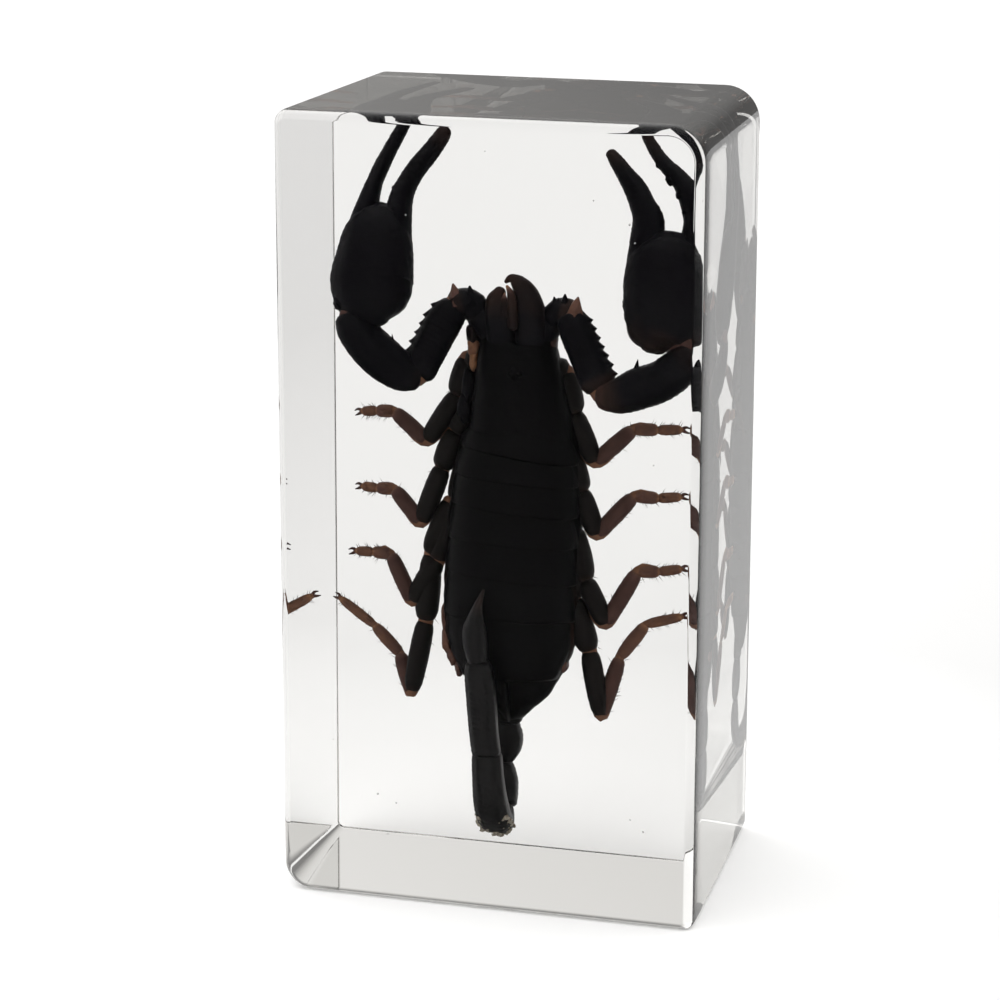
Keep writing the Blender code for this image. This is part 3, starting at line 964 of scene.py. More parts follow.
@dataclass(frozen=True)
class Trunk:
    """The head shield, the seven back plates, the soft sides, the belly plates and the combs."""

    rows: tuple = line(
        (1.4, 27.0, 69.4, 7.0, 5.2), (1.3, 27.0, 65.4, 8.6, 5.9), (0.8, 27.0, 60.9, 9.3, 6.3),
        (0.5, 27.0, 56.4, 9.7, 6.5), (0.2, 27.0, 51.9, 9.9, 6.6), (0.0, 27.0, 46.9, 10.1, 6.5),
        (-0.3, 27.0, 40.9, 10.1, 6.2), (-0.35, 27.0, 35.4, 9.9, 5.7), (-0.3, 27.2, 30.6, 8.0, 4.9),
        (-0.3, 27.5, 28.0, 6.2, 4.2), (-0.7, 27.9, 25.4, 3.9, 3.3), (-1.1, 28.4, 23.7, 2.6, 2.6))
    row_step: float = 0.5
    soft_tints: tuple = (0.1, 0.1, 0.15, 0.2, 0.2, 0.25, 0.35, 0.42, 0.28, 0.12, 0.1, 0.1)
    soft_share: float = 0.985
    soft_skin: Skin = Skin(sides=56, square=2.2, near=0.9, far=0.92, rough=0.12, rough_size=1.3,
                           start_dome=0.3, end_dome=0.2)
    bulges: tuple = (
        ((-9.9, 27.2, 37.6), (0.75, 2.2, 2.4), 0.72), ((-9.7, 27.2, 34.0), (0.85, 2.2, 2.1), 0.74),
        ((-8.9, 27.2, 31.8), (0.8, 2.2, 1.9), 0.7), ((-7.9, 27.2, 30.2), (0.7, 2.2, 1.7), 0.68),
        ((8.5, 27.3, 36.2), (0.9, 2.2, 2.2), 0.5), ((7.6, 27.3, 31.8), (0.6, 2.2, 1.3), 0.7))
    bulge_rough: float = 0.3
    back: Plates = Plates(
        heights=(65.7, 62.5, 58.8, 54.5, 49.7, 44.5, 38.5, 29.5), tints=(*(0.04,) * 5, 0.1, 0.1),
        depth=26.2, side_inset=0.5, depth_inset=0.0, swells=(-0.55, -0.25, 0.0, 0.12, 0.05), depth_swell=0.8,
        skin=Skin(sides=72, step=0.35, square=2.35, far=0.45, start_dome=0.05, end_dome=0.035, rough=0.045,
                  rough_size=0.55),
        keels=(Keel(68.0, 0.10, 0.8, 4.0), Keel(112.0, 0.10, 0.8, 4.0)), keels_from=2)
    belly: Plates = Plates(
        heights=(58.4, 52.9, 47.3, 41.7, 36.1, 29.5), tints=(0.16,) * 5, depth=28.0, side_inset=1.0,
        depth_inset=0.5, swells=(-0.5, -0.2, 0.0, 0.1, 0.02), depth_swell=1.0,
        skin=Skin(sides=56, square=2.4, near=0.4, start_dome=0.05, end_dome=0.04, rough_size=0.7))
    slit_gap: float = 0.52
    slit_depth: float = 0.93
    slit_size: tuple = (0.85, 0.16, 0.2)
    slit_tint: float = 0.75

    def build(self, black: bpy.types.Material) -> None:
        """Build the trunk as one piece.

        Args:
            black: Its finish.
        """
        piece = Piece("scorpion_trunk")
        body = smooth_line(self.rows, self.row_step)
        HeadShield().add_to(piece)
        soft = [row.scaled(self.soft_share, tint) for row, tint in zip(self.rows, self.soft_tints)]
        piece.limb(self.soft_skin, soft)
        for place, size, tint in self.bulges:
            piece.lump(place, size, tint, self.bulge_rough, FINE)
        self.back.add_to(piece, body)
        self.belly.add_to(piece, body)
        self._slits(piece, body)
        Combs().add_to(piece)
        piece.done(black)

    def _slits(self, piece: Piece, body: Sequence[Station]) -> None:
        """Add the two breathing slits of each belly plate.

        Args:
            piece: The piece that takes them.
            body: The body's close cross-sections from the top down.
        """
        for top, bottom in zip(self.belly.heights, self.belly.heights[1:]):
            cut = section(body, (top + bottom) / 2)
            depth = self.belly.depth + (cut.half_depth - self.belly.depth_inset) * self.slit_depth
            for side in (-1, 1):
                place = (cut.across + side * cut.half_width * self.slit_gap, depth, (top + bottom) / 2)
                piece.lump(place, self.slit_size, self.slit_tint)


@dataclass(frozen=True)
class Tail:
    """The tail, which hangs down, folds at the bottom and lies over the back with its sting."""

    segments: tuple = (
        line((-0.85, 28.2, 26.4, 2.5, 2.4), (-1.05, 28.6, 24.3, 2.6, 2.4), (-1.15, 28.9, 22.5, 2.3, 2.3)),
        line((-1.1, 29.0, 21.9, 1.7, 2.0), (-1.3, 29.3, 19.7, 2.45, 2.4), (-1.4, 29.5, 17.6, 2.25, 2.4),
             (-1.4, 29.6, 16.1, 1.4, 2.0)),
        line((-1.6, 29.7, 15.3, 1.3, 1.7, 0.15), (-1.85, 29.7, 13.4, 2.15, 2.2, 0.1),
             (-1.85, 29.4, 11.3, 2.3, 2.2, 0.15), (-1.8, 28.6, 9.5, 2.2, 1.9, 0.2)),
        line((-1.7, 27.2, 8.4, 2.0, 1.6, 0.3), (-1.5, 24.2, 8.0, 2.3, 1.7, 0.25),
             (-1.4, 21.0, 8.5, 2.45, 2.0, 0.15), (-1.45, 18.8, 10.1, 2.5, 2.15, 0.1),
             (-1.7, 17.6, 12.5, 2.45, 2.3, 0.12), (-1.9, 17.0, 15.6, 2.3, 2.2, 0.1),
             (-2.05, 16.8, 19.1, 2.2, 2.15, 0.1)),
        line((-2.15, 16.8, 19.6, 2.1, 2.05, 0.1), (-2.5, 16.6, 22.6, 2.1, 2.1, 0.05),
             (-2.8, 16.3, 27.2, 2.15, 2.15, 0.05), (-3.15, 16.1, 31.3, 2.05, 2.1, 0.05),
             (-3.3, 16.0, 32.9, 1.75, 1.8, 0.1)))
    sting: tuple = line(
        (-3.4, 16.0, 33.3, 1.4, 1.45, 0.15), (-3.7, 15.8, 35.9, 1.75, 1.7, 0.15),
        (-3.8, 15.7, 38.1, 1.65, 1.6, 0.15), (-3.55, 15.8, 40.3, 0.95, 0.95, 0.25),
        (-3.15, 16.0, 42.1, 0.5, 0.5, 0.35), (-2.65, 16.5, 43.6, 0.2, 0.2, 0.3))
    segment_skin: Skin = Skin(
        sides=40, step=0.19, lie=Lie.ARCHED, square=2.5, rough=0.04, rough_size=0.5, start_dome=0.35,
        end_dome=0.3, keels=tuple(Keel(angle, 0.16, 0.75, 9.0) for angle in (25, 65, 115, 155, 215, 325)))
    joint_skin: Skin = Skin(sides=20, step=0.6, lie=Lie.ARCHED)
    joint_share: float = 0.82
    joint_tint: float = 0.2
    sting_skin: Skin = Skin(sides=32, step=0.25, lie=Lie.ARCHED, rough=0.05, rough_size=0.6, end_dome=1.6)

    def build(self, black: bpy.types.Material) -> None:
        """Build the tail as one piece.

        Args:
            black: Its finish.
        """
        piece = Piece("scorpion_tail")
        for rows in self.segments:
            piece.limb(self.segment_skin, rows)
        joints = [row.scaled(self.joint_share, self.joint_tint) for rows in self.segments for row in rows]
        piece.limb(self.joint_skin, joints)
        piece.limb(self.sting_skin, self.sting)
        piece.done(black)


@dataclass(frozen=True)
class Crumbs:
    """The dried crumbs that cling to the tail's bend."""

    seed: int = 31
    count: int = 70
    turns: tuple = (math.radians(195), math.radians(345))
    reaches: tuple = (0.92, 1.05)
    depths: tuple = (17.0, 23.5)
    sizes: tuple = (0.18, 0.55)
    across: float = -1.4
    half_width: float = 2.6
    height: float = 8.5
    half_height: float = 2.2
    bend_depth: float = 20.5
    bend_rise: float = 0.9
    shape: tuple = (1.0, 0.8, 0.9)
    rough: float = 0.9

    def build(self) -> None:
        """Build the crumbs as one piece."""
        draw = random.Random(self.seed)
        piece = Piece("scorpion_crumbs")
        for _ in range(self.count):
            turn = draw.uniform(*self.turns)
            reach = draw.uniform(*self.reaches)
            depth = draw.uniform(*self.depths)
            rise = max(0.0, self.bend_depth - depth) * self.bend_rise
            place = (self.across + self.half_width * math.cos(turn) * reach, depth,
                     self.height + rise + self.half_height * math.sin(turn) * reach)
            size = draw.uniform(*self.sizes)
            piece.lump(place, [size * share for share in self.shape], 0.0, self.rough)
        piece.done(DriedCrumb().make())


@dataclass(frozen=True)
class Arm:
    """One arm with its claw: the rows of each part from the body to the finger tips.

    Outside is the angle of the arm's outer side, as its keels count it. A knob is across, depth, height and
    radius. A spike is its base, its tip, its radius and its tint.
    """

    name: str
    outside: float
    hip: tuple
    ring: tuple
    upper: tuple
    lower: tuple
    palm: tuple
    outer_finger: tuple
    inner_finger: tuple
    knobs: tuple
    spikes: tuple
    root_skin: Skin = Skin(sides=28, step=0.35, square=2.2, rough=0.07, rough_size=0.6)
    upper_skin: Skin = Skin(sides=44, step=0.16, square=2.4, rough=0.05, rough_size=0.5)
    lower_skin: Skin = Skin(sides=44, step=0.22, square=2.3, rough=0.05, rough_size=0.6,
                            keels=(Keel(0.0, 0.12, 0.8, 9.0), Keel(180.0, 0.12, 0.8, 9.0),
                                   Keel(62.0, 0.10, 0.9, 8.0), Keel(118.0, 0.10, 0.9, 8.0)))
    palm_skin: Skin = Skin(sides=80, step=0.28, square=2.15, rough=0.09, rough_size=0.75, start_dome=0.35,
                           end_dome=0.5, keels=(Keel(0.0, 0.10, 0.9, 7.0), Keel(180.0, 0.10, 0.9, 7.0),
                                                Keel(55.0, 0.12, 1.0, 6.0), Keel(90.0, 0.10, 1.1, 6.0),
                                                Keel(125.0, 0.12, 1.0, 6.0)))
    finger_skin: Skin = Skin(sides=32, step=0.18, rough=0.05, rough_size=0.6, end_dome=0.9,
                             keels=(Keel(0.0, 0.10, 0.62, 12.0), Keel(180.0, 0.10, 0.62, 12.0)))
    joint_skin: Skin = Skin(sides=20, step=0.4, rough=0.08, rough_size=0.5)
    joint_share: float = 0.8
    palm_joint_share: float = 0.4
    joint_tints: tuple = (0.8, 0.6)
    knob_tint: float = 0.05
    knob_rough: float = 0.3
    knob_depth: float = 1.3

    def build(self, black: bpy.types.Material) -> None:
        """Build the arm as one piece.

        Args:
            black: Its finish.
        """
        piece = Piece(self.name)
        saw = (Keel(self.outside, 0.72, 1.4, 12.0), Keel(self.outside + 58.0, 0.22, 0.8, 9.0),
               Keel(self.outside + 180.0, 0.14, 0.7, 10.0), Keel(90.0, 0.10, 0.8, 9.0))
        for skin, rows in ((self.root_skin, self.hip), (self.root_skin, self.ring),
                           (replace(self.upper_skin, keels=saw), self.upper), (self.lower_skin, self.lower),
                           (self.palm_skin, self.palm), (self.finger_skin, self.outer_finger),
                           (self.finger_skin, self.inner_finger)):
            piece.limb(skin, rows)
        for *place, radius in self.knobs:
            piece.lump(place, (radius, radius * self.knob_depth, radius), self.knob_tint, self.knob_rough,
                       FINE)
        for base, tip, radius, tint in self.spikes:
            piece.spike(at(*base), at(*tip), radius, tint)
        self._joints(piece)
        piece.done(black)

    def _joints(self, piece: Piece) -> None:
        """Add the soft skin in each joint of the arm.

        Args:
            piece: The piece that takes it.
        """
        share = self.joint_share
        amber, brown = self.joint_tints
        for first, second in ((self.hip, self.ring), (self.ring, self.upper), (self.upper, self.lower)):
            piece.limb(self.joint_skin, (first[-1].scaled(share, amber), second[0].scaled(share, amber)))
        piece.limb(self.joint_skin, (self.lower[-1].scaled(share, brown),
                                     self.palm[4].scaled(self.palm_joint_share, brown)))


LEFT_ARM = Arm(
    name="scorpion_left_arm",
    outside=0.0,
    hip=line((-1.55, 25.3, 79.0, 2.5, 2.8, 0.1), (-3.35, 25.4, 81.1, 2.6, 2.7, 0.1),
             (-4.95, 25.3, 82.5, 2.2, 2.4, 0.25)),
    ring=line((-5.2, 24.8, 83.0, 2.1, 2.2, 0.2), (-6.5, 24.5, 83.7, 2.2, 2.2, 0.15),
              (-7.95, 24.0, 83.6, 2.1, 2.2, 0.35)),
    upper=line((-8.4, 23.8, 82.7, 2.2, 2.2, 0.1), (-9.55, 23.2, 81.1, 2.5, 2.4, 0.05),
               (-10.85, 22.1, 78.5, 2.5, 2.5, 0.05), (-11.95, 21.0, 76.1, 2.45, 2.4, 0.05),
               (-12.6, 20.4, 74.3, 2.3, 2.3, 0.2)),
    lower=line((-13.4, 19.8, 73.6, 2.2, 2.2, 0.25), (-15.1, 19.4, 74.1, 2.75, 2.5, 0.1),
               (-17.2, 19.0, 75.5, 3.1, 2.7, 0.05), (-19.4, 18.7, 77.4, 3.1, 2.8, 0.05),
               (-21.5, 18.5, 79.8, 2.8, 2.6, 0.1), (-22.4, 18.5, 81.3, 2.3, 2.3, 0.2)),
    palm=line((-18.6, 18.9, 81.0, 1.8, 1.8, 0.15), (-18.75, 19.0, 81.5, 3.2, 2.5, 0.14),
              (-19.0, 19.3, 82.4, 4.5, 3.2, 0.12), (-19.3, 19.8, 83.7, 5.35, 3.8, 0.08),
              (-19.5, 20.3, 85.0, 5.8, 4.1, 0.04), (-19.7, 21.0, 86.6, 6.0, 4.3),
              (-19.5, 22.1, 89.3, 5.65, 4.2), (-19.35, 23.6, 92.6, 5.0, 3.7),
              (-19.2, 24.9, 94.8, 3.8, 3.0), (-19.2, 25.7, 95.9, 2.0, 2.0)),
    outer_finger=line((-22.1, 23.2, 91.0, 2.4, 2.9), (-21.55, 24.7, 94.4, 2.0, 2.5),
                      (-21.0, 26.4, 97.7, 1.45, 1.9), (-20.5, 28.0, 99.9, 1.15, 1.5, 0.03),
                      (-19.85, 29.7, 101.9, 1.1, 1.35, 0.06), (-18.9, 31.5, 104.2, 0.98, 1.15, 0.12),
                      (-17.8, 33.4, 106.6, 0.9, 1.0, 0.2), (-16.9, 35.2, 108.6, 0.7, 0.75, 0.3)),
    inner_finger=line((-16.9, 23.2, 91.0, 2.7, 2.9), (-16.7, 24.8, 94.6, 2.1, 2.5),
                      (-16.35, 26.4, 98.0, 1.68, 1.95), (-15.5, 27.6, 100.2, 1.45, 1.6, 0.05),
                      (-14.4, 28.7, 102.1, 1.38, 1.45, 0.1), (-13.1, 29.8, 103.8, 1.3, 1.35, 0.2),
                      (-12.0, 30.8, 105.4, 1.22, 1.2, 0.3), (-11.15, 31.7, 106.8, 1.05, 1.0, 0.38)),
    knobs=((-17.4, 26.1, 96.9, 0.95), (-17.1, 27.2, 98.9, 0.85), (-16.1, 28.3, 100.9, 0.7),
           (-23.7, 19.2, 83.6, 1.3)),
    spikes=(((-7.6, 23.3, 83.6), (-8.3, 23.1, 86.6), 1.6, 0.7),
            ((-5.8, 23.6, 83.7), (-5.9, 23.3, 86.4), 1.5, 0.1),
            ((-4.4, 24.0, 83.3), (-4.3, 23.8, 85.1), 1.1, 0.1),
            ((-16.1, 18.8, 77.2), (-16.3, 18.6, 79.5), 0.55, 0.1),
            ((-6.8, 23.6, 84.4), (-7.3, 23.3, 85.8), 0.5, 0.5)))

RIGHT_ARM = Arm(
    name="scorpion_right_arm",
    outside=180.0,
    hip=line((3.35, 25.3, 79.0, 2.5, 2.8, 0.1), (4.55, 25.4, 80.9, 2.4, 2.6, 0.1),
             (5.8, 25.3, 82.1, 2.1, 2.3, 0.25)),
    ring=line((6.1, 24.8, 82.4, 2.0, 2.2, 0.2), (7.15, 24.5, 83.2, 2.1, 2.2, 0.15),
              (8.35, 24.0, 83.2, 2.0, 2.0, 0.4)),
    upper=line((8.6, 23.8, 82.4, 2.1, 2.1, 0.15), (9.5, 23.3, 80.6, 2.35, 2.3, 0.05),
               (10.75, 22.4, 78.2, 2.35, 2.4, 0.05), (12.0, 21.6, 75.9, 2.45, 2.4, 0.1),
               (13.0, 21.1, 74.0, 2.45, 2.3, 0.35)),
    lower=line((13.9, 20.8, 72.5, 2.2, 2.2, 0.5), (16.3, 20.5, 72.6, 2.55, 2.5, 0.3),
               (19.0, 20.2, 73.8, 2.9, 2.7, 0.15), (21.9, 19.9, 75.0, 2.8, 2.7, 0.15),
               (24.3, 19.7, 76.9, 2.7, 2.6, 0.2), (25.8, 19.8, 78.9, 2.25, 2.3, 0.3)),
    palm=line((20.9, 19.9, 79.5, 1.8, 1.8, 0.35), (20.95, 20.1, 80.0, 3.2, 2.6, 0.32),
              (21.1, 20.4, 80.8, 4.2, 3.2, 0.3), (21.5, 20.8, 82.2, 5.1, 3.7, 0.22),
              (21.9, 21.5, 84.0, 5.7, 4.1, 0.15), (22.05, 22.5, 86.3, 5.9, 4.3, 0.08),
              (22.1, 23.6, 88.9, 6.0, 4.2, 0.03), (22.3, 24.8, 91.8, 5.4, 3.7), (22.4, 25.6, 93.3, 3.6, 2.8)),
    outer_finger=line((25.3, 23.9, 89.6, 2.6, 2.9), (25.4, 25.5, 93.6, 2.0, 2.2),
                      (25.4, 26.8, 96.6, 1.6, 1.9), (24.6, 28.0, 99.6, 1.7, 1.6, 0.05),
                      (22.9, 29.2, 101.9, 1.3, 1.4, 0.12),
                      (20.5, 30.2, 104.0, 0.98, 1.15, 0.22), (18.8, 31.1, 106.0, 0.85, 0.95, 0.32),
                      (17.4, 32.1, 108.1, 0.65, 0.7, 0.4)),
    inner_finger=line((18.9, 24.1, 90.0, 2.7, 2.9), (18.9, 25.6, 93.9, 2.35, 2.4),
                      (18.9, 26.5, 96.4, 2.2, 2.1), (17.95, 27.2, 98.5, 1.8, 1.9, 0.05),
                      (16.85, 27.9, 100.5, 1.6, 1.6, 0.1),
                      (15.3, 28.7, 102.4, 1.25, 1.35, 0.2), (13.9, 29.3, 104.1, 1.0, 1.1, 0.3),
                      (13.1, 29.7, 105.0, 0.75, 0.8, 0.35)),
    knobs=((24.3, 27.2, 98.2, 0.95), (23.3, 28.2, 100.0, 0.9), (21.6, 29.2, 101.9, 0.8),
           (19.8, 30.3, 103.8, 0.6), (20.6, 20.0, 76.1, 1.0), (22.4, 19.8, 76.9, 0.9)),
    spikes=(((9.1, 23.3, 83.2), (9.7, 23.1, 85.7), 1.6, 0.75),
            ((7.7, 23.5, 83.4), (7.8, 23.2, 86.0), 1.4, 0.1),
            ((6.4, 23.8, 83.0), (6.2, 23.5, 85.5), 1.2, 0.2),
            ((18.4, 20.0, 76.0), (18.7, 19.8, 77.9), 0.6, 0.15),
            ((6.8, 23.6, 83.8), (6.8, 23.4, 85.4), 0.5, 0.3)))


@dataclass(frozen=True)
class Jaws:
    """The two jaws in front of the head shield, the right one larger and hooked, with the skin beside them.

    A lump of the skin is across, height, half width, half height and tint.
    """

    jaws: tuple = (
        line((-1.35, 24.1, 79.0, 2.3, 2.3, 0.2), (-1.65, 23.8, 82.3, 2.15, 2.1, 0.25),
             (-1.95, 23.5, 84.5, 1.6, 1.5, 0.35), (-1.55, 23.3, 85.7, 0.9, 0.9, 0.45)),
        line((2.85, 24.1, 79.0, 2.4, 2.3, 0.2), (2.85, 23.8, 82.7, 2.2, 2.2, 0.25),
             (2.25, 23.5, 85.5, 1.75, 1.7, 0.3), (1.15, 23.3, 87.1, 1.2, 1.1, 0.35),
             (0.05, 23.2, 87.7, 0.65, 0.6, 0.45), (-0.65, 23.2, 87.3, 0.3, 0.3, 0.5)))
    fingers: tuple = (
        line((0.45, 22.4, 81.0, 0.8, 0.8, 0.3), (0.45, 22.2, 83.9, 0.75, 0.7, 0.4),
             (0.15, 22.4, 85.7, 0.55, 0.5, 0.5), (-0.35, 22.6, 86.6, 0.25, 0.2, 0.85)),
        line((-0.55, 22.3, 82.7, 0.7, 0.6, 0.3), (-0.75, 22.3, 84.5, 0.6, 0.5, 0.35),
             (-0.75, 22.6, 85.6, 0.15, 0.15, 0.8)))
    skin_lumps: tuple = (
        (-5.7, 79.4, 1.1, 1.7, 0.3), (-5.7, 77.6, 0.9, 1.5, 0.80), (-5.5, 75.6, 0.7, 1.6, 0.88),
        (-6.4, 71.8, 1.0, 2.6, 0.2), (-6.9, 68.6, 1.2, 2.4, 0.15), (5.6, 78.7, 0.8, 1.8, 0.5),
        (6.0, 75.4, 0.9, 1.6, 0.3), (0.4, 82.4, 1.6, 2.8, 0.3))
    lump_depth: float = 25.6
    lump_half_depth: float = 2.0
    lump_rough: float = 0.3
    jaw_skin: Skin = Skin(sides=32, step=0.25, square=2.2, rough=0.06, rough_size=0.6, end_dome=0.9)
    finger_skin: Skin = Skin(sides=20, step=0.25, end_dome=1.2)

    def build(self, black: bpy.types.Material) -> None:
        """Build both jaws as one piece.

        Args:
            black: Their finish.
        """
        piece = Piece("scorpion_jaws")
        for across, height, width, tall, tint in self.skin_lumps:
            piece.lump((across, self.lump_depth, height), (width, self.lump_half_depth, tall), tint,
                       self.lump_rough, FINE)
        for rows in self.jaws:
            piece.limb(self.jaw_skin, rows)
        for rows in self.fingers:
            piece.limb(self.finger_skin, rows)
        piece.done(black)


@dataclass(frozen=True)
class Span:
    """One hard segment of a leg: its two ends and the leg's radius at each."""

    start: Vector
    end: Vector
    first: float
    second: float

    def radius(self, t: float) -> float:
        """The leg's radius at a share of the length."""
        return self.first * (1 - t) + self.second * t


@dataclass(frozen=True)
class Legs:
    """The eight legs, each from hip to foot as (across, depth, height)."""

    joints: tuple = (
        ((-2.6, 27.0, 74.9), (-6.9, 27.0, 75.5), (-8.2, 27.0, 70.3), (-12.8, 27.0, 63.2),
         (-17.9, 28.3, 67.0), (-20.6, 28.9, 66.8), (-22.9, 29.5, 66.5)),
        ((-3.8, 27.0, 71.4), (-8.7, 27.5, 64.9), (-10.6, 27.5, 59.4), (-13.7, 27.0, 51.1),
         (-18.0, 28.7, 55.5), (-20.7, 29.5, 55.3), (-23.1, 30.2, 55.3)),
        ((-4.3, 27.0, 68.9), (-8.6, 27.5, 54.6), (-11.3, 27.5, 45.7), (-15.1, 27.2, 39.2),
         (-18.5, 28.2, 45.9), (-21.2, 28.5, 45.9), (-23.8, 28.8, 45.8)),
        ((-9.3, 27.5, 54.5), (-12.25, 27.8, 46.5), (-13.2, 28.0, 36.4), (-15.4, 28.0, 25.3),
         (-17.5, 30.3, 30.5), (-21.7, 31.8, 34.2), (-27.3, 33.8, 37.5)),
        ((4.8, 27.0, 74.9), (7.5, 27.0, 74.4), (8.6, 27.0, 68.7), (11.7, 27.0, 61.7),
         (17.0, 28.5, 66.7), (20.3, 29.5, 66.6), (23.6, 30.5, 66.7)),
        ((6.4, 27.0, 70.4), (8.0, 27.3, 63.3), (9.7, 27.3, 57.4), (12.1, 27.0, 51.2),
         (17.2, 28.8, 57.0), (20.5, 29.8, 56.7), (23.6, 30.8, 57.0)),
        ((6.9, 27.0, 65.4), (8.8, 27.3, 51.8), (10.4, 27.5, 44.4), (13.5, 27.4, 38.1),
         (17.8, 29.0, 46.0), (20.8, 29.9, 46.0), (23.9, 30.8, 46.5)),
        ((8.0, 27.3, 51.5), (8.7, 27.5, 41.5), (11.2, 27.4, 34.0), (13.1, 27.1, 24.4),
         (15.4, 29.3, 33.0), (19.0, 30.4, 38.0), (24.0, 31.8, 39.3)))
    radii: tuple = (1.7, 1.65, 1.6, 1.22, 0.98, 0.78, 0.6)
    tints: tuple = (0.15, 0.2, 0.2, 0.61, 0.74, 0.77)
    swells: tuple = ((0.04, 0.72), (0.16, 0.92), (0.5, 1.06), (0.82, 1.05), (0.95, 0.86))
    end_swell: float = 0.9
    end_tint: float = 0.12
    thickness: tuple = (0.85, 0.3)
    segment_skin: Skin = Skin(sides=18, step=0.3, square=2.3, rough=0.04, rough_size=0.5, start_dome=0.4,
                              end_dome=0.35, keels=(Keel(0.0, 0.07, 0.5, 12.0), Keel(180.0, 0.07, 0.5, 12.0)))
    core_skin: Skin = Skin(sides=12, step=1.0, rough=0.02)
    core_share: float = 0.72
    core_tint: float = 0.8
    claw_skin: Skin = Skin(sides=8, step=0.25, rough=0.0, start_dome=0.3)
    claw_length: float = 1.2
    claw_spread: float = 32.0
    claw_middle: float = 0.55
    claw_tip: float = 1.1
    claw_droop: tuple = (0.0, 0.25, -0.25)
    claw_rows: tuple = ((0.32, 0.3, 0.7), (0.22, 0.2, 0.6), (0.07, 0.07, 0.4))
    seed: int = 7
    hair_counts: tuple = (0, 6, 10, 26, 26, 34)
    hair_places: tuple = (0.1, 1.0)
    hair_root: float = 0.85
    hair_sides: int = 4
    hair_leans: tuple = (0.4, 1.1)
    hair_lengths: tuple = (0.5, 1.15)
    hair_radius: float = 0.05

    def build(self, brown: bpy.types.Material) -> None:
        """Build the legs as one piece and their hairs as another.

        Args:
            brown: The legs' finish.
        """
        legs = Piece("scorpion_legs")
        hairs = Piece("scorpion_hairs")
        draw = random.Random(self.seed)
        for leg in self.joints:
            points = [Vector(joint) for joint in leg]
            core = [Station(*point, radius * self.core_share, radius * self.core_share, self.core_tint)
                    for point, radius in zip(points, self.radii)]
            legs.limb(self.core_skin, core)
            spans = [Span(*four) for four in zip(points, points[1:], self.radii, self.radii[1:])]
            for span, tint, count in zip(spans, self.tints, self.hair_counts):
                self._segment(legs, span, tint)
                self._hairs(hairs, span, count, draw)
            self._claws(legs, *points[-2:])
        legs.done(brown)
        hairs.done(Bristle().make())

    def _segment(self, legs: Piece, span: Span, tint: float) -> None:
        """Add one hard segment, narrow at its root and wide towards its far end.

        Args:
            legs: The piece that takes the segment.
            span: The segment's ends.
            tint: The segment's tint.
        """
        rows = []
        flat, round_up = self.thickness
        for t, swell in self.swells:
            radius = span.radius(t) * swell
            rows.append(Station(*span.start.lerp(span.end, t), radius, radius * (flat + round_up * radius),
                                tint + (self.end_tint if t > self.end_swell else 0.0)))
        legs.limb(self.segment_skin, rows)

    def _hairs(self, hairs: Piece, span: Span, count: int, draw: random.Random) -> None:
        """Add the hairs of one segment.

        Args:
            hairs: The piece that takes them.
            span: The segment's ends.
            count: How many hairs it has.
            draw: Where chance comes from.
        """
        along = (span.end - span.start).normalized()
        wide, thin = self.segment_skin.axes(along)
        for _ in range(count):
            t = draw.uniform(*self.hair_places)
            turn = draw.uniform(0.0, math.tau)
            out = wide * math.cos(turn) + thin * math.sin(turn)
            root = at(*span.start.lerp(span.end, t)) + out * span.radius(t) * self.hair_root
            way = (out + along * draw.uniform(*self.hair_leans)).normalized()
            tip = root + way * draw.uniform(*self.hair_lengths)
            hairs.spike(root, tip, self.hair_radius, 0.0, self.hair_sides)

    def _claws(self, legs: Piece, ankle: Vector, foot: Vector) -> None:
        """Add the two claws of a foot.

        Args:
            legs: The piece that takes them.
            ankle: The last joint before the foot.
            foot: The end of the leg.
        """
        along = (foot - ankle).normalized()
        for turn in (-self.claw_spread, self.claw_spread):
            way = Matrix.Rotation(math.radians(turn), 3, "Y") @ along
            middle = foot + way * self.claw_length * self.claw_middle
            bent = (way + along).normalized() * self.claw_length * self.claw_tip
            tip = foot + bent + Vector(self.claw_droop)
            claw = [Station(*point, *row) for point, row in zip((foot, middle, tip), self.claw_rows)]
            legs.limb(self.claw_skin, claw)


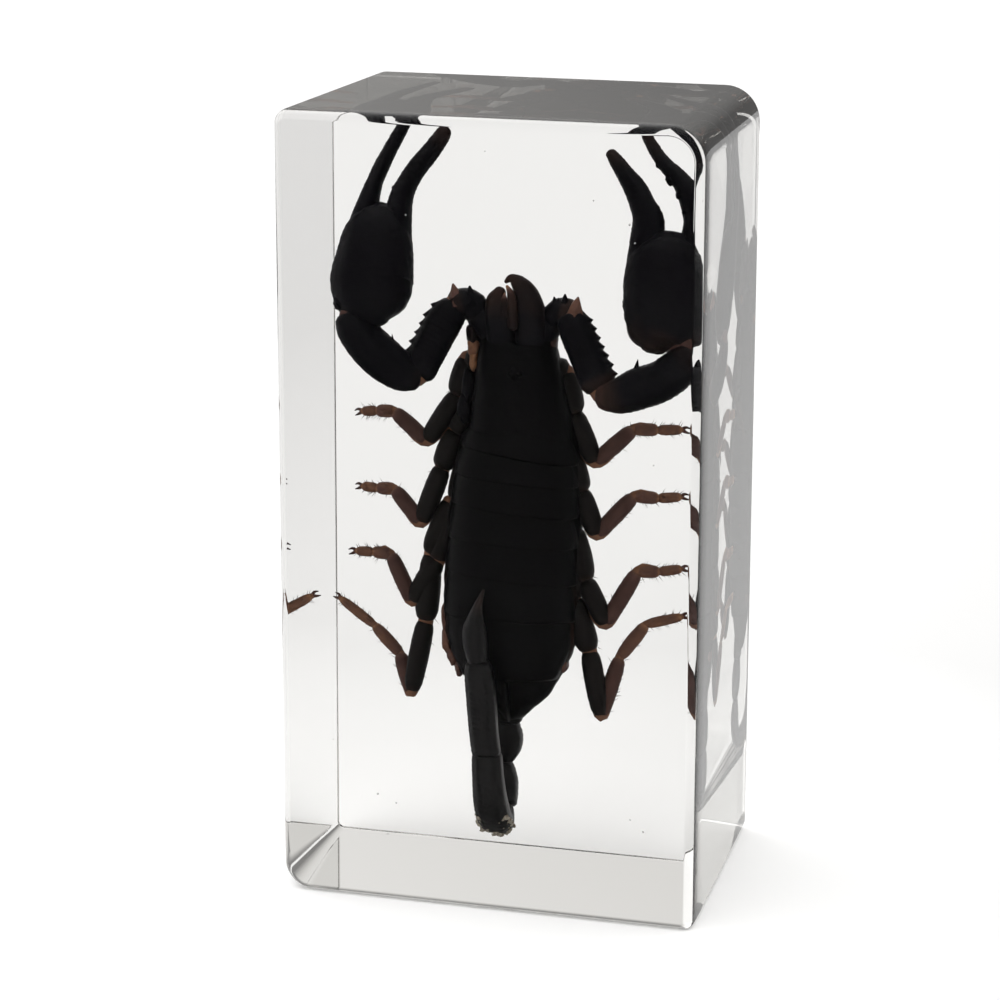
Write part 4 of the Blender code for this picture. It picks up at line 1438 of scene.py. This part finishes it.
@dataclass(frozen=True)
class Studio:
    """The pale floor, the soft light and the camera of the photograph."""

    camera_place: tuple = (0.1148, -0.4264, 0.1732)
    looks_along: tuple = (-0.2576, 0.9306, -0.2600)
    right_hand: tuple = (0.9635, 0.2675, 0.0029)
    lens: float = 115.1
    sensor: float = 36.0
    clip: tuple = (0.01, 100.0)
    floor_size: float = 12.0
    floor_gap: float = 0.0002
    zenith: tuple = (1.98, 1.98, 1.98)
    low: tuple = (0.80, 0.79, 0.765)
    horizon: tuple = (0.28, 0.275, 0.27)
    rises: tuple = (0.08, 0.30, 1.0)
    side_end: float = -0.12
    side_start: float = 0.25
    side_slope: float = 0.5
    bounces: tuple = (("max_bounces", 24), ("transmission_bounces", 24), ("glossy_bounces", 16),
                      ("diffuse_bounces", 4))

    def build(self) -> None:
        """Set the stage."""
        self._floor()
        self._light()
        self._camera()

    def _floor(self) -> None:
        """A wide flat sheet just under the block."""
        shape = bmesh.new()
        bmesh.ops.create_grid(shape, x_segments=2, y_segments=2, size=self.floor_size / 2,
                              matrix=Matrix.Translation((0.0, 0.0, -self.floor_gap)))
        stand("floor", shape, PaleFloor().make())

    def _light(self) -> None:
        """Even soft light, brightest overhead, that may pass and bounce often inside the block."""
        scene = bpy.context.scene
        scene.world = bpy.data.worlds.new("soft studio")
        looks = Looks(scene.world)
        way = looks.node("ShaderNodeTexCoord", output="Generated")
        across = looks.part(way, "X")
        side = looks.node("ShaderNodeMath", {"operation": "MINIMUM"}, {0: across, 1: self.side_end})
        rise = looks.part(way, "Z") - (side + self.side_start) * self.side_slope
        colour = looks.ramp(rise, list(zip(self.rises, (self.horizon, self.low, self.zenith))))
        looks.finish(looks.node("ShaderNodeBackground", inputs={"Color": colour, "Strength": 1.0}))
        scene.view_settings.view_transform = "Standard"
        for name, count in self.bounces:
            setattr(scene.cycles, name, count)

    def _camera(self) -> None:
        """The camera at the photograph's place."""
        data = bpy.data.cameras.new("camera")
        data.lens = self.lens
        data.sensor_width = self.sensor
        data.clip_start, data.clip_end = self.clip
        camera = bpy.data.objects.new("camera", data)
        bpy.context.scene.collection.objects.link(camera)
        back = -Vector(self.looks_along).normalized()
        up = back.cross(Vector(self.right_hand)).normalized()
        turn = Matrix((up.cross(back), up, back)).transposed()
        camera.matrix_world = Matrix.Translation(self.camera_place) @ turn.to_4x4()
        bpy.context.scene.camera = camera


def main() -> None:
    """Build the scene."""
    logging.basicConfig(level=logging.INFO, format="%(message)s")
    ResinBlock().build()
    black = BLACK_CUTICLE.make()
    claw = CLAW_CUTICLE.make()
    brown = LEG_CUTICLE.make()
    Trunk().build(black)
    Tail().build(TAIL_CUTICLE.make())
    Crumbs().build()
    LEFT_ARM.build(claw)
    RIGHT_ARM.build(claw)
    Jaws().build(claw)
    Legs().build(brown)
    Specks().build()
    Studio().build()


if __name__ == "__main__":
    main()
